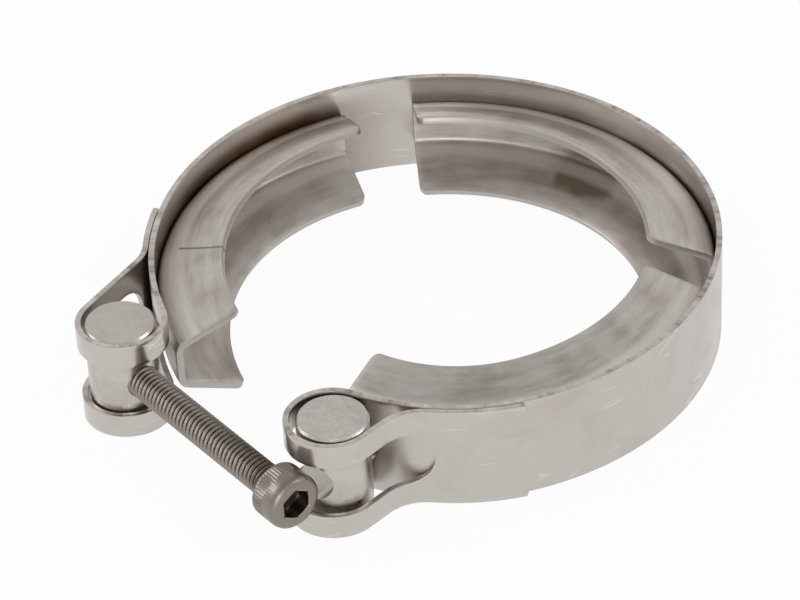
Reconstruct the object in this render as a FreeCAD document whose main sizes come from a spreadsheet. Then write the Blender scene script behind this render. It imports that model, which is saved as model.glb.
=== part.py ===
import FreeCAD, Part
import math
import os

import Sketcher
from FreeCAD import Placement, Rotation, Vector

# V-band clamp of the swing-screw kind, lying open.
#
# Frame: the origin is the centre of the ring on the groove's middle plane, +Z is the ring's
# axis and -Y points out through the gap between the two trunnions. Millimetres.
#
# The strap is one strip. Each of its ends leaves the ring on an arc of its own, loops round a
# trunnion and comes back along the outside of the strap as a welded tail. Directions at the
# ends are measured from -Y towards that end's side: the threaded trunnion is on -X and the
# slotted one on +X.

SIZES = [
    ("ring_diameter", 100.0, "outside diameter of the strap's ring"),
    ("strap_thickness", 1.0, "strip thickness of the strap"),
    ("strap_width", 19.4, "width of the strap along the axis"),
    ("layer_gap", 0.15, "gap between the strap and its folded tail"),
    ("release_angle", 64.0, "direction in which each end leaves the ring's circle"),
    ("reverse_bend_radius", 8.5, "mid-line radius of the bend where a tail leaves the strap"),
    ("trunnion_diameter", 12.4, "diameter of both trunnions"),
    ("trunnion_recess", 0.4, "length by which the trunnions stay short of the strap's width"),
    ("trunnion_chamfer", 0.35, "edge break on the trunnions"),
    ("loop_play", 0.75, "radial room for a trunnion in its loop"),
    ("seat_gap", 0.3, "room left between a trunnion and the side it lies against"),
    ("threaded_offset", 24.9, "sideways place of the loop that holds the threaded trunnion"),
    ("threaded_standoff", 1.35, "how far that loop stands outside the ring's circle"),
    ("threaded_straight", 14.9, "straight run between that loop and its reverse bend"),
    ("threaded_lap", 11.4, "length of that tail that lies on the strap"),
    ("slotted_offset", 21.0, "sideways place of the loop that holds the slotted trunnion"),
    ("slotted_standoff", -3.5, "how far that loop stands outside the ring's circle"),
    ("slotted_straight", 4.8, "straight run between that loop and its reverse bend"),
    ("slotted_lap", 16.0, "length of that tail that lies on the strap"),
    ("window_height", 10.4, "height of the windows through the loops"),
    ("tail_bulge", 1.7, "how far the rounded end of a tail stands out at its middle"),
    ("weld_diameter", 3.2, "diameter of the spot welds that hold the tails"),
    ("weld_spacing", 9.0, "distance between the two spot welds of a tail"),
    ("segment_thickness", 1.3, "sheet thickness of the V segments"),
    ("segment_gap", 0.05, "gap between a segment's web and the strap"),
    ("segment_bend", 1.0, "inner bend radius of the segments"),
    ("segment_corner", 1.8, "corner radius at the ends of the flanks"),
    ("flank_angle", 20.0, "angle of each flank from the ring's plane"),
    ("mouth_radius", 37.0, "radius of the segments' free edges"),
    ("mouth_height", 14.8, "height of the groove at its mouth, between the flanks"),
    ("left_start_angle", 153.3, "polar angle of the left segment's far end"),
    ("left_end_angle", 24.8, "direction of the left segment's end under its loop"),
    ("back_start_angle", 40.0, "polar angle of the back segment's right end"),
    ("back_end_angle", 137.5, "polar angle of the back segment's left end"),
    ("front_start_angle", 27.9, "polar angle of the front segment's far end"),
    ("front_end_angle", 7.2, "direction of the front segment's end under its loop"),
    ("thread_diameter", 5.9, "outside diameter of the M6 thread"),
    ("thread_clearance", 0.06, "radial clearance of the thread in its hole"),
    ("screw_length", 50.0, "length of the screw under its head"),
    ("tip_proud", 0.4, "how far the screw's tip stands out of the threaded trunnion"),
    ("tip_chamfer", 0.8, "chamfer on the screw's tip"),
    ("head_diameter", 10.0, "diameter of the screw's head"),
    ("head_height", 6.0, "height of the screw's head"),
    ("head_chamfer", 0.7, "chamfer on the head's outer edge"),
    ("socket_width", 5.0, "width across the flats of the hexagon socket"),
    ("socket_depth", 3.0, "depth of the hexagon socket"),
    ("park_gap", 0.4, "gap between the parked head and the slotted trunnion"),
    ("slot_height", 7.0, "height of the slot in the slotted trunnion"),
    ("slot_angle", 187.0, "polar angle that the slot opens towards as it lies"),
]

# Lengths and places worked out from the sizes. `side` is -1 for the threaded end and 1 for the
# slotted one; the same lines serve both.
WORKED = [
    ("strap_radius", "Sizes.ring_diameter / 2 - Sizes.strap_thickness / 2"),
    ("strap_inside", "Sizes.ring_diameter / 2 - Sizes.strap_thickness"),
    ("half_width", "Sizes.strap_width / 2"),
    ("half_thickness", "Sizes.strap_thickness / 2"),
    ("layer_step", "Sizes.strap_thickness + Sizes.layer_gap"),
    ("trunnion_radius", "Sizes.trunnion_diameter / 2"),
    ("trunnion_length", "Sizes.strap_width - Sizes.trunnion_recess"),
    ("loop_radius", "trunnion_radius + Sizes.loop_play + half_thickness"),
    ("seat_shift", "Sizes.loop_play - Sizes.seat_gap"),
    ("half_window", "Sizes.window_height / 2"),
    ("half_slot", "Sizes.slot_height / 2"),
    ("slot_depth", "trunnion_radius + 1"),
    ("bulge_radius", "(half_width ^ 2 + Sizes.tail_bulge ^ 2) / (2 * Sizes.tail_bulge)"),
    ("trim_height", "half_width + 1"),
    ("weld_radius", "Sizes.weld_diameter / 2"),
    ("weld_height", "Sizes.weld_spacing / 2"),
    ("web_outside", "strap_inside - Sizes.segment_gap"),
    ("web_inside", "web_outside - Sizes.segment_thickness"),
    ("slope", "tan(Sizes.flank_angle * 1 deg)"),
    ("flank_step", "Sizes.segment_thickness / cos(Sizes.flank_angle * 1 deg)"),
    ("mouth_inner", "Sizes.mouth_height / 2"),
    ("mouth_outer", "mouth_inner + flank_step"),
    ("outer_bend", "Sizes.segment_bend + Sizes.segment_thickness"),
    ("bend_place", "web_inside - Sizes.segment_bend"),
    ("bend_height", "mouth_inner - (bend_place - Sizes.mouth_radius) * slope"
                    " - Sizes.segment_bend / cos(Sizes.flank_angle * 1 deg)"),
    ("thread_radius", "Sizes.thread_diameter / 2"),
    ("hole_radius", "thread_radius + Sizes.thread_clearance"),
    ("head_radius", "Sizes.head_diameter / 2"),
    ("tip_place", "-(trunnion_radius + Sizes.tip_proud)"),
    ("screw_reach", "tip_place + Sizes.screw_length"),
    ("tip_shoulder", "tip_place + Sizes.tip_chamfer"),
    ("tip_radius", "thread_radius - Sizes.tip_chamfer"),
    ("face_place", "screw_reach + Sizes.head_height"),
    ("socket_corner", "Sizes.socket_width / sqrt(3)"),
    ("socket_side", "socket_corner / 2"),
    ("half_socket", "Sizes.socket_width / 2"),
]


def bend_lines(name, radius):
    """The corners of one side of the channel's sheet: each bend is drawn as two straights."""
    lean = "(90 - Sizes.flank_angle) * 1 deg"
    return [
        (f"{name}_web_place", f"bend_place + {radius}"),
        (f"{name}_mid_place", f"bend_place + {radius} * cos({lean} / 2)"),
        (f"{name}_mid_height", f"bend_height + {radius} * sin({lean} / 2)"),
        (f"{name}_flank_place", f"bend_place + {radius} * cos({lean})"),
        (f"{name}_flank_height", f"bend_height + {radius} * sin({lean})"),
    ]


WORKED += bend_lines("outer", "outer_bend") + bend_lines("inner", "Sizes.segment_bend")


def end_lines(end, side):
    """The worked lines of one end of the strap: its arc, loop, trunnion and tail."""
    lean = f"({end}_reach * cos((Sizes.release_angle - {end}_direction) * 1 deg))"
    return [
        (f"{end}_reach", f"strap_radius + loop_radius + Sizes.{end}_standoff"),
        (f"{end}_direction", f"asin(Sizes.{end}_offset / {end}_reach) / 1 deg"),
        (f"{end}_loop_x", f"{side} * Sizes.{end}_offset"),
        (f"{end}_loop_y", f"-sqrt({end}_reach ^ 2 - Sizes.{end}_offset ^ 2)"),
        (f"{end}_arc", f"(strap_radius ^ 2 + {end}_reach ^ 2 - 2 * strap_radius * {lean}"
                       f" - loop_radius ^ 2) / (2 * (strap_radius + loop_radius - {lean}))"),
        (f"{end}_centre_x", f"{side} * (strap_radius - {end}_arc)"
                            " * sin(Sizes.release_angle * 1 deg)"),
        (f"{end}_centre_y", f"-(strap_radius - {end}_arc)"
                            " * cos(Sizes.release_angle * 1 deg)"),
        (f"{end}_tail_arc", f"{end}_arc + layer_step"),
        (f"{end}_x", f"{end}_loop_x"),
        (f"{end}_y", f"{end}_loop_y + {side} * seat_shift"),
        (f"{end}_loop_angle", f"atan({side} * ({end}_loop_x - {end}_centre_x)"
                              f" / ({end}_centre_y - {end}_loop_y)) / 1 deg"),
        (f"{end}_loop_far", f"{end}_arc + loop_radius"),
        (f"{end}_bend_far", f"{end}_tail_arc + Sizes.reverse_bend_radius"),
        (f"{end}_apart", f"sqrt(Sizes.{end}_straight ^ 2"
                         " + (Sizes.reverse_bend_radius + loop_radius) ^ 2)"),
        (f"{end}_throat", f"{end}_loop_angle + acos(({end}_loop_far ^ 2 + {end}_bend_far ^ 2"
                          f" - {end}_apart ^ 2) / (2 * {end}_loop_far * {end}_bend_far)) / 1 deg"),
        (f"{end}_tail", f"{end}_throat + Sizes.{end}_lap / {end}_tail_arc * 180 / pi"),
    ]


WORKED += end_lines("threaded", -1) + end_lines("slotted", 1)
WORKED += [
    ("span_x", "slotted_x - threaded_x"),
    ("span_y", "slotted_y - threaded_y"),
    ("span", "sqrt(span_x ^ 2 + span_y ^ 2)"),
    ("screw_angle", "atan(span_y / span_x) / 1 deg - asin((trunnion_radius + head_radius"
                    " + Sizes.park_gap) / span) / 1 deg"),
]

doc = FreeCAD.newDocument("VBandClamp")

sheet = doc.addObject("Spreadsheet::Sheet", "Sizes")
for row, (alias, value, note) in enumerate(SIZES, start=1):
    sheet.set(f"A{row}", note)
    sheet.set(f"B{row}", str(value))
    sheet.setAlias(f"B{row}", alias)
doc.recompute()

worked = doc.addObject("Spreadsheet::Sheet", "Worked")
for row, (alias, formula) in enumerate(WORKED, start=1):
    worked.set(f"A{row}", "=" + formula)
    worked.setAlias(f"A{row}", alias)
doc.recompute()

DRIVING = {alias for alias, value, note in SIZES}


def cell(alias):
    """The expression that names a value, such as Sizes.strap_width or -Worked.half_width."""
    sign = "-" if alias.startswith("-") else ""
    alias = alias.lstrip("-")
    return f"{sign}{'Sizes' if alias in DRIVING else 'Worked'}.{alias}"


def number(alias):
    """The same value as a plain number."""
    sign = -1.0 if alias.startswith("-") else 1.0
    alias = alias.lstrip("-")
    return sign * float((sheet if alias in DRIVING else worked).get(alias))


def unit(angle):
    return Vector(math.cos(math.radians(angle)), math.sin(math.radians(angle)), 0)


SIDE = {"threaded": -1, "slotted": 1}


def polar_angle(end, direction):
    """Polar angle of a direction that is measured from -Y towards one end's side."""
    return -90 + SIDE[end] * number(direction)


def polar_cell(end, direction):
    return f"-90 {'+' if SIDE[end] > 0 else '-'} {cell(direction)}"


# --- sketch helpers -------------------------------------------------------------------------

def new_body(label):
    body = doc.addObject("PartDesign::Body", label)
    body.Label = label
    return body


def new_sketch(body, name, role):
    """A sketch on one of the body's own origin planes."""
    sketch = body.newObject("Sketcher::SketchObject", name)
    plane = [item for item in body.Origin.OriginFeatures if item.Role == role][0]
    sketch.AttachmentSupport = [(plane, "")]
    sketch.MapMode = "FlatFace"
    return sketch


def turned_sketch(body, name, polar, x="0", y="0"):
    """An upright sketch: its x runs at a polar angle from the point (x, y), its y is up."""
    sketch = new_sketch(body, name, "XZ_Plane")
    sketch.AttachmentOffset = Placement(Vector(0, 0, 0), Rotation(Vector(0, 1, 0), 1))
    sketch.setExpression("AttachmentOffset.Rotation.Angle", polar)
    sketch.setExpression("AttachmentOffset.Base.x", x)
    sketch.setExpression("AttachmentOffset.Base.z", f"-({y})")
    return sketch


def bind(sketch, kind, items, value, expression):
    """Adds a driving constraint and ties it to the sheets."""
    index = sketch.addConstraint(Sketcher.Constraint(kind, *items, value))
    sketch.setExpression(f"Constraints[{index}]", expression)


def pin_point(sketch, point, x, y):
    """Ties a point's two coordinates to named values."""
    bind(sketch, "DistanceX", (-1, 1, *point), number(x), cell(x))
    bind(sketch, "DistanceY", (-1, 1, *point), number(y), cell(y))


class Arc:
    """One arc of a sketch and which of its ends is the start and which the finish."""

    def __init__(self, sketch, centre, radius, start, finish, anticlockwise):
        low, high = (start, finish) if anticlockwise else (finish, start)
        circle = Part.Circle(centre, Vector(0, 0, 1), radius)
        self.geo = sketch.addGeometry(
            Part.ArcOfCircle(circle, math.radians(low), math.radians(high)))
        self.start = (self.geo, 1 if anticlockwise else 2)
        self.finish = (self.geo, 2 if anticlockwise else 1)
        self.centre = (self.geo, 3)
        self.radius = radius


def join(sketch, first, second):
    """Makes one end point tangent to the next."""
    sketch.addConstraint(Sketcher.Constraint("Tangent", *first, *second))


def ray(sketch, centre, point, start, finish, expression):
    """A construction line that holds an arc's end at a polar angle about a centre."""
    geo = sketch.addGeometry(Part.LineSegment(start, finish), True)
    sketch.addConstraint(Sketcher.Constraint("Coincident", geo, 1, *centre))
    sketch.addConstraint(Sketcher.Constraint("Coincident", geo, 2, *point))
    run = finish - start
    bind(sketch, "Angle", (geo,), math.atan2(run.y, run.x), expression)


ORIGIN_POINT = (-1, 1)
ORIGIN = Vector(0, 0, 0)


def bearing(vector):
    return math.degrees(math.atan2(vector.y, vector.x))


def end_points(end):
    """Centres and touching points of one end of the strap, and the bearings that they lie at."""
    side = SIDE[end]
    radius = number("loop_radius")
    reverse = number("reverse_bend_radius")
    arc = number(f"{end}_arc")
    tail_arc = number(f"{end}_tail_arc")
    centre = Vector(number(f"{end}_centre_x"), number(f"{end}_centre_y"), 0)
    loop = Vector(number(f"{end}_loop_x"), number(f"{end}_loop_y"), 0)
    throat = centre + unit(polar_angle(end, f"{end}_throat")) * tail_arc
    bend = centre + unit(polar_angle(end, f"{end}_throat")) * (tail_arc + reverse)
    across = loop - bend
    opening = math.degrees(math.acos((reverse + radius) / across.Length))
    normal = unit(bearing(across) - side * opening)
    return {
        "side": side, "arc": arc, "tail_arc": tail_arc, "centre": centre, "loop": loop,
        "throat": throat, "bend": bend, "bend_leave": bend + normal * reverse,
        "loop_meet": loop - normal * radius, "loop_touch": centre + (loop - centre).normalize() * arc,
        "tail_end": centre + unit(polar_angle(end, f"{end}_tail")) * tail_arc,
    }


def strap_end(sketch, end):
    """Draws one end of the strap's mid-line, from the ring's circle out to the tail's end."""
    at = end_points(end)
    side = at["side"]
    centre, loop, bend = at["centre"], at["loop"], at["bend"]
    release = polar_angle(end, "release_angle")
    inward = side < 0
    end_arc = Arc(sketch, centre, at["arc"], release, bearing(at["loop_touch"] - centre), inward)
    loop_arc = Arc(sketch, loop, number("loop_radius"), bearing(at["loop_touch"] - loop),
                   bearing(at["loop_meet"] - loop), not inward)
    line = sketch.addGeometry(Part.LineSegment(at["loop_meet"], at["bend_leave"]))
    bend_arc = Arc(sketch, bend, number("reverse_bend_radius"), bearing(at["bend_leave"] - bend),
                   bearing(at["throat"] - bend), inward)
    tail_arc = Arc(sketch, centre, at["tail_arc"], polar_angle(end, f"{end}_throat"),
                   polar_angle(end, f"{end}_tail"), not inward)
    join(sketch, end_arc.finish, loop_arc.start)
    join(sketch, loop_arc.finish, (line, 1))
    join(sketch, (line, 2), bend_arc.start)
    join(sketch, bend_arc.finish, tail_arc.start)
    sketch.addConstraint(Sketcher.Constraint("Coincident", *tail_arc.centre, *end_arc.centre))
    pin_point(sketch, loop_arc.centre, f"{end}_loop_x", f"{end}_loop_y")
    bind(sketch, "Radius", (loop_arc.geo,), loop_arc.radius, cell("loop_radius"))
    bind(sketch, "Radius", (bend_arc.geo,), bend_arc.radius, cell("reverse_bend_radius"))
    bind(sketch, "Radius", (tail_arc.geo,), tail_arc.radius, cell(f"{end}_tail_arc"))
    ray(sketch, tail_arc.centre, tail_arc.start, centre, at["throat"],
        polar_cell(end, f"{end}_throat"))
    ray(sketch, tail_arc.centre, tail_arc.finish, centre, at["tail_end"],
        polar_cell(end, f"{end}_tail"))
    return end_arc


def build_strap():
    """The strap: one strip swept along its mid-line, then windowed, trimmed and welded."""
    body = new_body("strap")
    path = new_sketch(body, "StrapPath", "XY_Plane")
    right = polar_angle("slotted", "release_angle")
    left = polar_angle("threaded", "release_angle") + 360
    ring = Arc(path, ORIGIN, number("strap_radius"), right, left, True)
    path.addConstraint(Sketcher.Constraint("Coincident", *ring.centre, *ORIGIN_POINT))
    bind(path, "Radius", (ring.geo,), ring.radius, cell("strap_radius"))
    slotted = strap_end(path, "slotted")
    threaded = strap_end(path, "threaded")
    join(path, ring.start, slotted.start)
    join(path, ring.finish, threaded.start)
    for end, point in (("slotted", ring.start), ("threaded", ring.finish)):
        tip = unit(polar_angle(end, "release_angle")) * ring.radius
        ray(path, ORIGIN_POINT, point, ORIGIN, tip, polar_cell(end, "release_angle"))

    section = turned_sketch(body, "StripSection", polar_cell("threaded", "threaded_tail"),
                            cell("threaded_centre_x"), cell("threaded_centre_y"))
    rectangle(section, "threaded_tail_arc", "strap_thickness", "strap_width")
    doc.recompute()
    strip = body.newObject("PartDesign::AdditivePipe", "Strip")
    strip.Profile = section
    strip.Spine = (path, [f"Edge{index + 1}" for index in range(len(path.Shape.Edges))])
    doc.recompute()

    for end in ("threaded", "slotted"):
        cut_window(body, end)
        trim_tail(body, end)
        weld_tail(body, end)
    return body


def rectangle(sketch, middle, thickness, width):
    """A rectangle centred on a named place along x and on the x axis."""
    place, half, rise = number(middle), number(thickness) / 2, number(width) / 2
    corners = [Vector(place - half, -rise, 0), Vector(place + half, -rise, 0),
               Vector(place + half, rise, 0), Vector(place - half, rise, 0)]
    signs = [("-", "-"), ("+", "-"), ("+", "+"), ("-", "+")]
    for index, corner in enumerate(corners):
        sketch.addGeometry(Part.LineSegment(corner, corners[(index + 1) % 4]))
    for index, (along, up) in enumerate(signs):
        corner = corners[index]
        sketch.addConstraint(Sketcher.Constraint("Coincident", index, 2, (index + 1) % 4, 1))
        bind(sketch, "DistanceX", (-1, 1, index, 1), corner.x,
             f"{cell(middle)} {along} {cell(thickness)} / 2")
        bind(sketch, "DistanceY", (-1, 1, index, 1), corner.y, f"{up}{cell(width)} / 2")


def end_face_sketch(body, name, end, direction, depth):
    """A sketch that faces outwards from one end's arc, at a depth from the arc's centre.

    Its x runs along the strap towards the gap and its y is up."""
    side = SIDE[end]
    turn = f"180 + {cell(direction)}" if side > 0 else f"-{cell(direction)}"
    run = f"({depth}) * sin({cell(direction)} * 1 deg)"
    rise = f"({depth}) * cos({cell(direction)} * 1 deg)"
    return turned_sketch(body, name, turn,
                         f"{cell(f'{end}_centre_x')} {'+' if side > 0 else '-'} {run}",
                         f"{cell(f'{end}_centre_y')} - {rise}")


def changed(body, feature, grows):
    """Recomputes and makes sure that a feature really adds or removes material."""
    doc.recompute()
    before = feature.BaseFeature.Shape.Volume
    after = feature.Shape.Volume
    if (after > before) != grows or abs(after - before) < 1e-6:
        raise RuntimeError(f"{feature.Name} leaves {body.Label} unchanged")


def cut_window(body, end):
    """The long window through both layers of a loop, round at its end by the throat."""
    sketch = end_face_sketch(body, f"{end}_window", end, f"{end}_throat", "0")
    half = number("half_window")
    at = end_points(end)
    along = unit(180 + number(f"{end}_throat")) if at["side"] > 0 else unit(-number(f"{end}_throat"))
    far = (at["loop"] - at["centre"]).dot(along) + number("loop_radius") + 2
    round_end(sketch, "half_window", "half_window", half, far)
    window = body.newObject("PartDesign::Pocket", f"{end}_window_cut")
    window.Profile = sketch
    window.Type = "ThroughAll"
    window.Reversed = at["side"] < 0
    changed(body, window, False)


def round_end(sketch, centre, radius, rise, far):
    """A slot outline open to the right: a half circle on the left and a straight far end."""
    middle = Vector(number(centre), 0, 0)
    arc = Arc(sketch, middle, rise, 90, 270, True)
    top = sketch.addGeometry(Part.LineSegment(Vector(middle.x, rise, 0), Vector(far, rise, 0)))
    side = sketch.addGeometry(Part.LineSegment(Vector(far, rise, 0), Vector(far, -rise, 0)))
    low = sketch.addGeometry(Part.LineSegment(Vector(far, -rise, 0), Vector(middle.x, -rise, 0)))
    join(sketch, arc.start, (top, 1))
    join(sketch, arc.finish, (low, 2))
    sketch.addConstraint(Sketcher.Constraint("Coincident", top, 2, side, 1))
    sketch.addConstraint(Sketcher.Constraint("Coincident", side, 2, low, 1))
    sketch.addConstraint(Sketcher.Constraint("Horizontal", top))
    sketch.addConstraint(Sketcher.Constraint("Horizontal", low))
    sketch.addConstraint(Sketcher.Constraint("Vertical", side))
    sketch.addConstraint(Sketcher.Constraint("PointOnObject", *arc.centre, -1))
    bind(sketch, "DistanceX", (-1, 1, *arc.centre), middle.x, cell(centre))
    bind(sketch, "Radius", (arc.geo,), rise, cell(radius))
    sketch.addConstraint(Sketcher.Constraint("DistanceX", -1, 1, side, 1, far))


def trim_tail(body, end):
    """Rounds a tail's end by cutting away its corners, above the strap that it lies on."""
    depth = f"{cell(f'{end}_arc')} + {cell('half_thickness')} + {cell('layer_gap')} / 3"
    sketch = end_face_sketch(body, f"{end}_tail_round", end, f"{end}_tail", depth)
    radius, half, high = number("bulge_radius"), number("half_width"), number("trim_height")
    bulge = number("tail_bulge")
    spread = math.degrees(math.asin(half / radius))
    arc = Arc(sketch, Vector(radius, 0, 0), radius, 180 - spread, 180 + spread, True)
    points = [Vector(bulge, -half, 0), Vector(bulge, -high, 0), Vector(-bulge, -high, 0),
              Vector(-bulge, high, 0), Vector(bulge, high, 0), Vector(bulge, half, 0)]
    lines = [sketch.addGeometry(Part.LineSegment(points[i], points[i + 1])) for i in range(5)]
    sketch.addConstraint(Sketcher.Constraint("Coincident", *arc.finish, lines[0], 1))
    sketch.addConstraint(Sketcher.Constraint("Coincident", *arc.start, lines[4], 2))
    for first, second in zip(lines, lines[1:]):
        sketch.addConstraint(Sketcher.Constraint("Coincident", first, 2, second, 1))
    bind(sketch, "DistanceX", (-1, 1, *arc.centre), radius, cell("bulge_radius"))
    pin_point(sketch, arc.start, "tail_bulge", "half_width")
    pin_point(sketch, arc.finish, "tail_bulge", "-half_width")
    for line, x, y in ((1, "tail_bulge", "-trim_height"), (2, "-tail_bulge", "-trim_height"),
                       (3, "-tail_bulge", "trim_height"), (4, "tail_bulge", "trim_height")):
        pin_point(sketch, (lines[line], 1), x, y)
    trim = body.newObject("PartDesign::Pocket", f"{end}_tail_trim")
    trim.Profile = sketch
    trim.Type = "ThroughAll"
    trim.Reversed = SIDE[end] < 0
    changed(body, trim, False)


def weld_tail(body, end):
    """Two spot welds that bridge the gap between a tail and the strap under it."""
    middle = f"({cell(f'{end}_throat')} + {cell(f'{end}_tail')}) / 2"
    depth = f"{cell(f'{end}_arc')} + {cell('half_thickness')} / 2"
    side = SIDE[end]
    turn = f"180 + {middle}" if side > 0 else f"-{middle}"
    run = f"({depth}) * sin({middle} * 1 deg)"
    rise = f"({depth}) * cos({middle} * 1 deg)"
    sketch = turned_sketch(body, f"{end}_weld_places", turn,
                           f"{cell(f'{end}_centre_x')} {'+' if side > 0 else '-'} {run}",
                           f"{cell(f'{end}_centre_y')} - {rise}")
    for sign in ("", "-"):
        place = Vector(0, number(f"{sign}weld_height"), 0)
        geo = sketch.addGeometry(Part.Circle(place, Vector(0, 0, 1), number("weld_radius")))
        sketch.addConstraint(Sketcher.Constraint("PointOnObject", geo, 3, -2))
        bind(sketch, "DistanceY", (-1, 1, geo, 3), place.y, cell(f"{sign}weld_height"))
        bind(sketch, "Radius", (geo,), number("weld_radius"), cell("weld_radius"))
    welds = body.newObject("PartDesign::Pad", f"{end}_welds")
    welds.Profile = sketch
    welds.setExpression("Length", f"{cell('layer_gap')} + {cell('half_thickness')}")
    welds.Reversed = side > 0
    changed(body, welds, True)


def build_segment(label, start, finish, end):
    """A V segment: its bent section swept round the inside of the strap."""
    body = new_body(label)
    path = new_sketch(body, f"{label}_path", "XY_Plane")
    radius = number("strap_radius")
    begin = number(start)
    if end is None:
        stop, stop_cell = number(finish), cell(finish)
        ring = Arc(path, ORIGIN, radius, begin, stop, True)
    else:
        anticlockwise = SIDE[end] < 0
        stop = polar_angle(end, "release_angle") + (360 if anticlockwise else 0)
        stop_cell = polar_cell(end, "release_angle")
        ring = Arc(path, ORIGIN, radius, begin, stop, anticlockwise)
        centre = Vector(number(f"{end}_centre_x"), number(f"{end}_centre_y"), 0)
        close = polar_angle(end, finish)
        arc = Arc(path, centre, number(f"{end}_arc"), stop, close, anticlockwise)
        join(path, ring.finish, arc.start)
        bind(path, "Radius", (arc.geo,), arc.radius, cell(f"{end}_arc"))
        ray(path, arc.centre, arc.finish, centre, centre + unit(close) * arc.radius,
            polar_cell(end, finish))
    path.addConstraint(Sketcher.Constraint("Coincident", *ring.centre, *ORIGIN_POINT))
    bind(path, "Radius", (ring.geo,), radius, cell("strap_radius"))
    ray(path, ORIGIN_POINT, ring.start, ORIGIN, unit(begin) * radius, cell(start))
    ray(path, ORIGIN_POINT, ring.finish, ORIGIN, unit(stop) * radius, stop_cell)

    section = turned_sketch(body, f"{label}_section", cell(start))
    channel_section(section)
    doc.recompute()
    channel = body.newObject("PartDesign::AdditivePipe", f"{label}_channel")
    channel.Profile = section
    channel.Spine = (path, [f"Edge{index + 1}" for index in range(len(path.Shape.Edges))])
    doc.recompute()
    round_edges(body, channel, f"{label}_corners", corner_edges, "segment_corner")
    return body


def channel_section(sketch):
    """The V channel's section: a web with a bent flank at each side, of one sheet thickness."""
    outside = channel_corners("outer", "mouth_outer")
    inside = channel_corners("inner", "mouth_inner")
    corners = outside + inside[::-1]
    places = [Vector(number(x), number(y), 0) for x, y in corners]
    count = len(places)
    for index in range(count):
        sketch.addGeometry(Part.LineSegment(places[index], places[(index + 1) % count]))
    for index, (x, y) in enumerate(corners):
        sketch.addConstraint(Sketcher.Constraint("Coincident", index, 2, (index + 1) % count, 1))
        pin_point(sketch, ((index + 1) % count, 1), *corners[(index + 1) % count])


def channel_corners(name, mouth):
    """One side of the channel's sheet, from the upper free edge round to the lower one."""
    upper = [("mouth_radius", mouth), (f"{name}_flank_place", f"{name}_flank_height"),
             (f"{name}_mid_place", f"{name}_mid_height"), (f"{name}_web_place", "bend_height")]
    return upper + [(x, f"-{y}") for x, y in upper[::-1]]


def corner_edges(edge):
    """Picks the four short upright edges at the ends of the free edges."""
    low, high = sorted(abs(vertex.Point.z) for vertex in edge.Vertexes)
    upright = abs(edge.Vertexes[0].Point.x - edge.Vertexes[-1].Point.x) < 1e-6
    return (upright and abs(low - number("mouth_inner")) < 1e-4
            and abs(high - number("mouth_outer")) < 1e-4)


def round_edges(body, base, name, pick, radius):
    """A fillet on the picked edges of a feature."""
    names = [f"Edge{index + 1}" for index, edge in enumerate(base.Shape.Edges) if pick(edge)]
    if not names:
        raise RuntimeError(f"{name} finds no edge")
    fillet = body.newObject("PartDesign::Fillet", name)
    fillet.Base = (base, names)
    fillet.setExpression("Radius", cell(radius))
    doc.recompute()
    return fillet


def placed_body(label, x, y, turn):
    """A body at a trunnion, turned about the upright axis."""
    body = new_body(label)
    body.Placement = Placement(Vector(0, 0, 0), Rotation(Vector(0, 0, 1), 1))
    body.setExpression("Placement.Base.x", cell(x))
    body.setExpression("Placement.Base.y", cell(y))
    body.setExpression("Placement.Rotation.Angle", cell(turn))
    return body


def round_bar(body, name):
    """The plain bar that both trunnions are made from."""
    sketch = new_sketch(body, f"{name}_circle", "XY_Plane")
    radius = number("trunnion_radius")
    geo = sketch.addGeometry(Part.Circle(ORIGIN, Vector(0, 0, 1), radius))
    sketch.addConstraint(Sketcher.Constraint("Coincident", geo, 3, *ORIGIN_POINT))
    bind(sketch, "Radius", (geo,), radius, cell("trunnion_radius"))
    bar = body.newObject("PartDesign::Pad", f"{name}_bar")
    bar.Profile = sketch
    bar.Midplane = True
    bar.setExpression("Length", cell("trunnion_length"))
    doc.recompute()
    names = [f"Edge{index + 1}" for index, edge in enumerate(bar.Shape.Edges)
             if len(edge.Vertexes) == 1]
    chamfer = body.newObject("PartDesign::Chamfer", f"{name}_edge_breaks")
    chamfer.Base = (bar, names)
    chamfer.setExpression("Size", cell("trunnion_chamfer"))
    doc.recompute()
    return chamfer


def build_threaded_trunnion():
    """The trunnion that the screw threads into; its x axis is the screw's."""
    body = placed_body("threaded_trunnion", "threaded_x", "threaded_y", "screw_angle")
    round_bar(body, "threaded")
    sketch = new_sketch(body, "threaded_hole_circle", "YZ_Plane")
    geo = sketch.addGeometry(Part.Circle(ORIGIN, Vector(0, 0, 1), number("hole_radius")))
    sketch.addConstraint(Sketcher.Constraint("Coincident", geo, 3, *ORIGIN_POINT))
    bind(sketch, "Radius", (geo,), number("hole_radius"), cell("hole_radius"))
    hole = body.newObject("PartDesign::Pocket", "threaded_hole")
    hole.Profile = sketch
    hole.Type = "ThroughAll"
    hole.Midplane = True
    changed(body, hole, False)
    return body


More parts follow.
